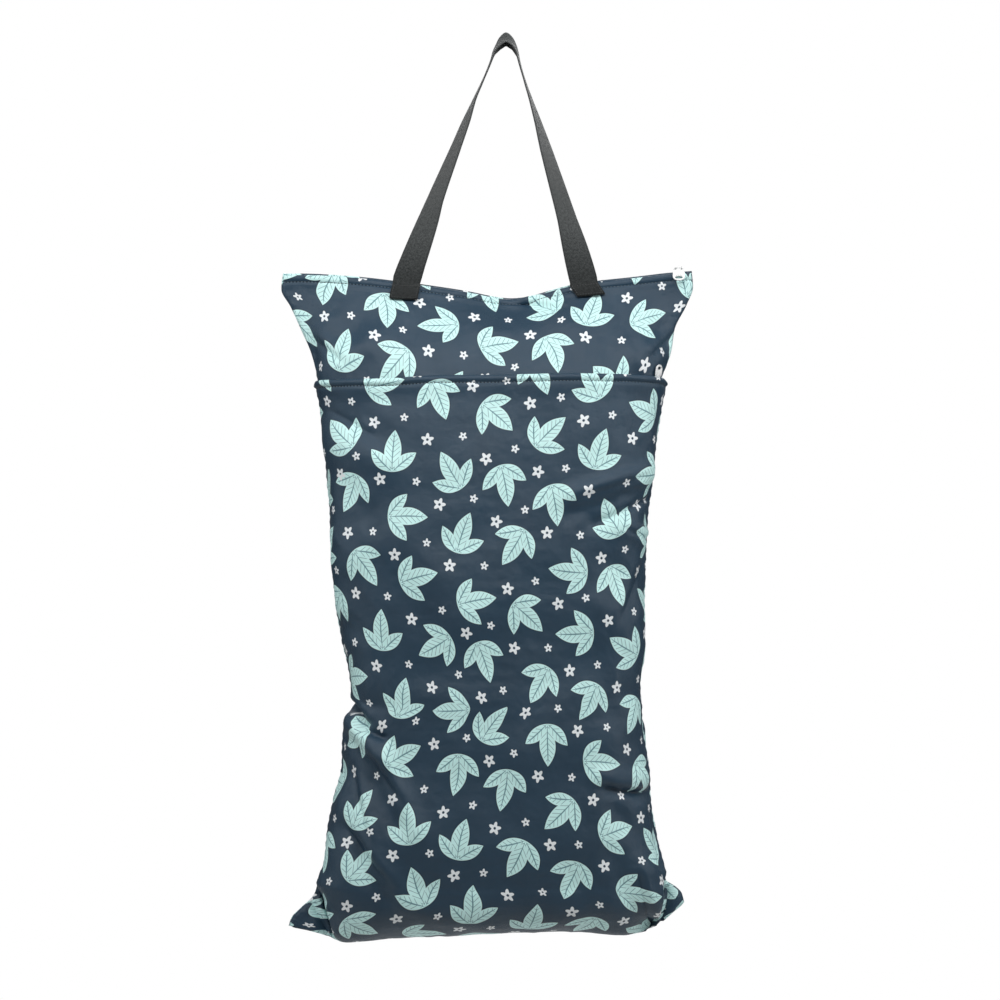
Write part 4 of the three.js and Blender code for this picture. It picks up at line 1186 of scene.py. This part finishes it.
def printedCloth():
    finish, tree, surface = newFinish("printedCloth", Roughness=0.4)
    surface.inputs["Specular IOR Level"].default_value = 0.42
    place = clothUvMillimetres(tree)
    local = tossedCell(tree, place, (0.0, 0.0))
    body = veins = blossoms = None
    for degrees, length, width in leafPrint["leaves"]:
        one, lines = leafShape(tree, local, degrees, length, width)
        body = one if body is None else calc(tree, "MAXIMUM", body, one)
        veins = lines if veins is None else calc(tree, "MAXIMUM", veins, lines)
    for shift, radius in leafPrint["blossoms"]:
        one = blossomShape(tree, tossedCell(tree, place, shift), radius)
        blossoms = one if blossoms is None else calc(tree, "MAXIMUM", blossoms, one)
    blur = leafPrint["blur"]
    cloud = noiseValue(tree, place, 0.018, 3.0)
    shade = mixColour(tree, calc(tree, "MULTIPLY", cloud, 0.6), leafPrint["navy"], leafPrint["deepNavy"])
    outline = sharp(tree, calc(tree, "ADD", body, leafPrint["outline"]), blur)
    colour = mixColour(tree, outline, shade, leafPrint["deepNavy"])
    inked = mixColour(tree, calc(tree, "MULTIPLY", cloud, 0.3), leafPrint["aqua"], (0.52, 0.80, 0.79, 1))
    colour = mixColour(tree, sharp(tree, body, blur), colour, inked)
    vein = calc(tree, "MULTIPLY", sharp(tree, veins, blur), sharp(tree, body, blur))
    colour = mixColour(tree, vein, colour, leafPrint["vein"])
    colour = mixColour(tree, sharp(tree, blossoms, blur), colour, leafPrint["white"])
    grain = noiseValue(tree, place, 1.4, 4.0, 0.7)
    colour = mixColour(tree, calc(tree, "MULTIPLY", grain, 0.1), colour, (0.012, 0.022, 0.034, 1))
    tree.links.new(colour, surface.inputs["Base Color"])
    # a fine knit, with the soft unevenness of laminated cloth
    u, v, _ = splitXyz(tree, place)
    knit = calc(tree, "MULTIPLY", calc(tree, "SINE", calc(tree, "MULTIPLY", u, 11.0)),
                calc(tree, "SINE", calc(tree, "MULTIPLY", v, 13.0)))
    rough = noiseValue(tree, place, 0.09, 3.0)
    height = calc(tree, "ADD", calc(tree, "MULTIPLY", knit, 0.12), calc(tree, "MULTIPLY", rough, 3.0))
    addBump(tree, surface, height, 0.4, 0.0009)
    tree.links.new(calc(tree, "ADD", calc(tree, "MULTIPLY", cloud, 0.14), 0.33), surface.inputs["Roughness"])
    return finish


# endReach and endDark set how far and how strongly the painted shade at the strap's sewn ends reaches
webbingLook = {"tuftScale": 0.42, "tuftContrast": 2.4, "endReach": 80, "endDark": 0.72}


def webbingCloth():
    finish, tree, surface = newFinish("webbing", Roughness=0.72)
    place = clothUvMillimetres(tree)
    u, v, _ = splitXyz(tree, place)
    across = calc(tree, "ABSOLUTE", u)
    twill = calc(tree, "SINE", calc(tree, "MULTIPLY", calc(tree, "ADD", across, v), 3.4))
    picks = calc(tree, "SINE", calc(tree, "MULTIPLY", calc(tree, "SUBTRACT", v, across), 5.2))
    weave = calc(tree, "ADD", calc(tree, "MULTIPLY", twill, 0.6), calc(tree, "MULTIPLY", picks, 0.4))
    fibre = noiseValue(tree, place, 0.9, 3.0, 0.75)
    tuft = noiseValue(tree, place, webbingLook["tuftScale"], 2.0, 0.7)
    fleck = calc(tree, "MULTIPLY", calc(tree, "SUBTRACT", fibre, 0.5), 2.4)
    patch = calc(tree, "MULTIPLY", calc(tree, "SUBTRACT", tuft, 0.5), webbingLook["tuftContrast"])
    tone = calc(tree, "ADD", calc(tree, "MULTIPLY", weave, 0.3), calc(tree, "ADD", calc(tree, "ADD", fleck, patch), 0.5))
    colour = mixColour(tree, tone, (0.016, 0.019, 0.020, 1), (0.066, 0.073, 0.073, 1))
    # both woven edges are painted darker: painted shade standing in for the shadowed edge of the webbing
    edge = sharp(tree, calc(tree, "SUBTRACT", across, 12.4), 1.0)
    colour = mixColour(tree, calc(tree, "MULTIPLY", edge, 0.5), colour, (0.014, 0.016, 0.017, 1))
    # both sewn ends are painted darker as painted shade where the webbing lies flush on the bag, and their specular
    # and sheen are lowered to match
    fromEnd = calc(tree, "MINIMUM", v, calc(tree, "SUBTRACT", float(strapLength), v))
    reach = webbingLook["endReach"]
    endShade = sharp(tree, calc(tree, "SUBTRACT", reach / 2, fromEnd), reach)
    endShade = calc(tree, "MULTIPLY", endShade, webbingLook["endDark"])
    colour = mixColour(tree, endShade, colour, (0, 0, 0, 1))
    tree.links.new(colour, surface.inputs["Base Color"])
    for socket, amount in (("Specular IOR Level", 0.3), ("Sheen Weight", 0.25)):
        tree.links.new(calc(tree, "MULTIPLY", calc(tree, "SUBTRACT", 1.0, endShade), amount), surface.inputs[socket])
    addBump(tree, surface, weave, 0.5, 0.0004)
    return finish


def plainFinish(name, colour, roughness, grainSize, depth):
    # a finish whose fine grain follows the object's own place
    finish, tree, surface = newFinish(name, Roughness=roughness)
    where = tree.nodes.new("ShaderNodeTexCoord").outputs["Object"]
    grain = noiseValue(tree, where, grainSize, 4.0, 0.6)
    dark = tuple(0.8 * c for c in colour[:3]) + (1,)
    tree.links.new(mixColour(tree, grain, dark, colour), surface.inputs["Base Color"])
    spread = calc(tree, "ADD", calc(tree, "MULTIPLY", grain, 0.15), roughness - 0.07)
    tree.links.new(spread, surface.inputs["Roughness"])
    addBump(tree, surface, grain, 0.25, depth)
    return finish


clothFinish = printedCloth()
webbingFinish = webbingCloth()
whitePlastic = plainFinish("whitePlastic", (0.86, 0.87, 0.87, 1), 0.34, 900.0, 0.0001)
whitePlastic.node_tree.nodes["Principled BSDF"].inputs["Coat Weight"].default_value = 0.15
tapeFinish = plainFinish("zipTapeCloth", (0.030, 0.042, 0.056, 1), 0.8, 1500.0, 0.0003)
toothFinish = plainFinish("zipTeeth", (0.035, 0.048, 0.062, 1), 0.42, 600.0, 0.0001)
threadFinish = plainFinish("navyThread", (0.085, 0.125, 0.155, 1), 0.5, 2500.0, 0.0001)
# near-black finish for the beads that paint the shade inside the needle holes
holeShadeFinish = plainFinish("shadedCloth", (0.003, 0.006, 0.010, 1), 0.8, 2500.0, 0.0001)
strapThread = plainFinish("charcoalThread", (0.040, 0.043, 0.044, 1), 0.7, 2500.0, 0.0001)

for piece in (frontYoke, frontPanel, backPanel):
    piece.data.materials.append(clothFinish)
webbingStrap.data.materials.append(webbingFinish)
for piece in (topSlider, topPull, pocketSlider, pocketPull):
    piece.data.materials.append(whitePlastic)
for piece in (topTape, pocketTape):
    piece.data.materials.append(tapeFinish)


def sewnLine(cloth, normals, lengths, start, sink):
    # the line of stitches of a turned edge, a little sunk in the cloth
    row = int(np.argmin(np.abs(lengths[hemEdgeRow:] - start - stitchLine))) + hemEdgeRow
    return cloth[row, 1:-1] - normals[row, 1:-1] * sink, normals[row, 1:-1]


def halfStitchOn(line, ways):
    # the same line, begun half a stitch later, where the needle went through
    first = line[1] - line[0]
    return np.concatenate([[line[0] + first * hemStitch["pitch"] / 2 / np.linalg.norm(first)], line[1:]]), ways


hemStitch = {"pitch": 3.4, "length": 1.9, "width": 0.9, "height": 0.8}
needleHole = {"pitch": 3.4, "length": 1.7, "width": 1.7, "height": 0.62}
yokeLine, yokeUp = sewnLine(yokeCloth, yokeNormals, yokeLengths, 0, -0.05)
backLine, backUp = sewnLine(backCloth, backNormals, backLengths, 0, -0.05)
foldLine, foldUp = sewnLine(frontCloth, frontNormals, frontLengths, bag["pocketDrop"], -0.05)
hemStitches = rowPiece("hemStitches", [yokeLine, backLine], [yokeUp, backUp], threadFinish, **hemStitch)
foldStitches = rowPiece("pocketStitches", [foldLine], [foldUp], threadFinish, **hemStitch)
# dark beads half a stitch along from each stitch: painted shade in the needle holes
holeShadeLines = [halfStitchOn(*line) for line in ((yokeLine, yokeUp), (backLine, backUp), (foldLine, foldUp))]
paintedHoleShade = rowPiece("paintedHoleShade", [h[0] for h in holeShadeLines], [h[1] for h in holeShadeLines], holeShadeFinish, **needleHole)


def sewnBox(seat):
    # the box of stitches on a sewn end, on the webbing's outer face
    low, half = seat["sewn"], strap["width"] / 2 - strap["boxInset"]
    corners = [(1.8, -half), (1.8, half), (low - 1.6, half), (low - 1.6, -half), (1.8, -half)]
    inward = 1 if seat["hem"] < 0 else -1
    path = []
    for (l1, w1), (l2, w2) in zip(corners, corners[1:]):
        for t in np.linspace(0, 1, 12, endpoint=False):
            length, across = l1 + (l2 - l1) * t, w1 + (w2 - w1) * t
            share = length / low
            middle = seat["hem"] + (seat["end"] - seat["hem"]) * share
            point = frontPlace(length, middle + inward * across / halfWidth)
            path.append(point - np.array([0, bag["hemWall"] + strap["lift"] + 2 * strap["wall"] + 0.05, 0]))
    return path, [(0, -1, 0)] * len(path)


leftBox, leftUp = sewnBox(leftSeat)
rightBox, rightUp = sewnBox(rightSeat)
strapStitches = rowPiece("strapStitches", [leftBox, rightBox], [leftUp, rightUp], strapThread,
                         pitch=2.6, length=1.9, width=0.85, height=0.8)

teeth = {"pitch": zips["toothPitch"], "length": 0.9, "width": zips["toothLength"], "height": zips["toothHeight"]}
upTop = [(0, 0, 1)] * count
outPocket = [(0, -1, 0)] * count
topCoil = rowPiece("topZipTeeth", [topTeeth], [upTop], toothFinish, **teeth)
pocketCoil = rowPiece("pocketZipTeeth", [pocketTeeth], [outPocket], toothFinish, **teeth)
print("stitches and teeth made")


# What each piece stands for
def onBag(piece, slot, *nodes):
    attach(piece, "bag")
    if nodes:
        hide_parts(*nodes)


onBag(frontPanel, "printed_cloth", "front_panel")
onBag(frontYoke, "printed_cloth", "front_yoke")
onBag(backPanel, "printed_cloth", "back_panel")
onBag(webbingStrap, "webbing", "strap")
onBag(topTape, "zip_tape", "top_zip")
onBag(pocketTape, "zip_tape", "pocket_zip")
onBag(topCoil, "zip_tape")
onBag(pocketCoil, "zip_tape")
onBag(topSlider, "white_plastic", "top_slider")
onBag(pocketSlider, "white_plastic", "pocket_slider")
onBag(pocketPull, "white_plastic", "pocket_pull")
onBag(hemStitches, "printed_cloth")
onBag(foldStitches, "printed_cloth")
onBag(paintedHoleShade, "printed_cloth")
onBag(strapStitches, "webbing")
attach(topPull, "top_pull")
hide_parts("top_pull")


def clothRun(cloth):
    middle = cloth[:, cloth.shape[1] // 2]
    return float(np.linalg.norm(np.diff(middle, axis=0), axis=1).sum()) * mm


print("strap", round(strapLength), "front", round(clothRun(frontCloth), 3), "yoke", round(clothRun(yokeCloth), 3),
      "back", round(clothRun(backCloth), 3))

# Floor, light and camera
stage = {"floorLevel": -1.35, "floorHalf": 1.7, "backdrop": 1.0, "skyLow": 0, "skyHigh": 0.4}
floorMesh = bpy.data.meshes.new("floor")
edge = stage["floorHalf"]
floorMesh.from_pydata([(x, y, stage["floorLevel"]) for x, y in ((-edge, -edge), (edge, -edge), (edge, edge), (-edge, edge))],
                      [], [(0, 1, 2, 3)])
floor = bpy.data.objects.new("floor", floorMesh)
bpy.context.scene.collection.objects.link(floor)
floorMesh.materials.append(plainFinish("paleFloor", (0.7, 0.7, 0.69, 1), 0.7, 6.0, 0.0005))


def softLight(name, place, target, size, power, colour=(1, 1, 1)):
    lamp = bpy.data.objects.new(name, bpy.data.lights.new(name, "AREA"))
    lamp.data.shape = "RECTANGLE"
    lamp.data.size, lamp.data.size_y = size
    lamp.data.energy = power
    lamp.data.color = colour
    lamp.location = place
    lamp.rotation_euler = (Vector(target) - Vector(place)).to_track_quat("-Z", "Y").to_euler()
    bpy.context.scene.collection.objects.link(lamp)


softLight("key", (-0.02, -0.85, 0.3), (0, 0, -0.36), (1.5, 0.45), 12.6)
softLight("left side", (-1.5, -0.45, 0), (0, 0, -0.4), (0.5, 0.9), 7.2)
softLight("right side", (1.5, -0.45, 0), (0, 0, -0.4), (0.5, 0.9), 10)
softLight("back", (0.3, 1.5, 0.6), (0, 0, -0.5), (1.6, 1.0), 20)


def studioWorld():
    # a white backdrop, and a softer light that comes more from above than from below
    world = bpy.data.worlds.new("studio")
    world.use_nodes = True
    tree = world.node_tree
    height = splitXyz(tree, tree.nodes.new("ShaderNodeTexCoord").outputs["Generated"])[2]
    share = calc(tree, "ADD", calc(tree, "MULTIPLY", height, 0.5), 0.5)
    low, high = stage["skyLow"], stage["skyHigh"]
    soft = calc(tree, "ADD", calc(tree, "MULTIPLY", calc(tree, "POWER", share, 2.0), high - low), low)
    seen = tree.nodes.new("ShaderNodeLightPath").outputs["Is Camera Ray"]
    strength = calc(tree, "MAXIMUM", soft, calc(tree, "MULTIPLY", seen, stage["backdrop"]))
    surface = tree.nodes["Background"]
    surface.inputs["Color"].default_value = (1, 1, 1, 1)
    tree.links.new(strength, surface.inputs["Strength"])
    return world


world = studioWorld()
bpy.context.scene.world = world
bpy.context.scene.view_settings.view_transform = "Standard"

camera = bpy.data.objects.new("camera", bpy.data.cameras.new("camera"))
camera.data.sensor_width = 36
camera.data.lens = 91.8
camera.location = (-5.9 * mm, -2.5, -457 * mm)
camera.rotation_euler = (90 * radians, 0, 0)
bpy.context.scene.collection.objects.link(camera)
bpy.context.scene.camera = camera
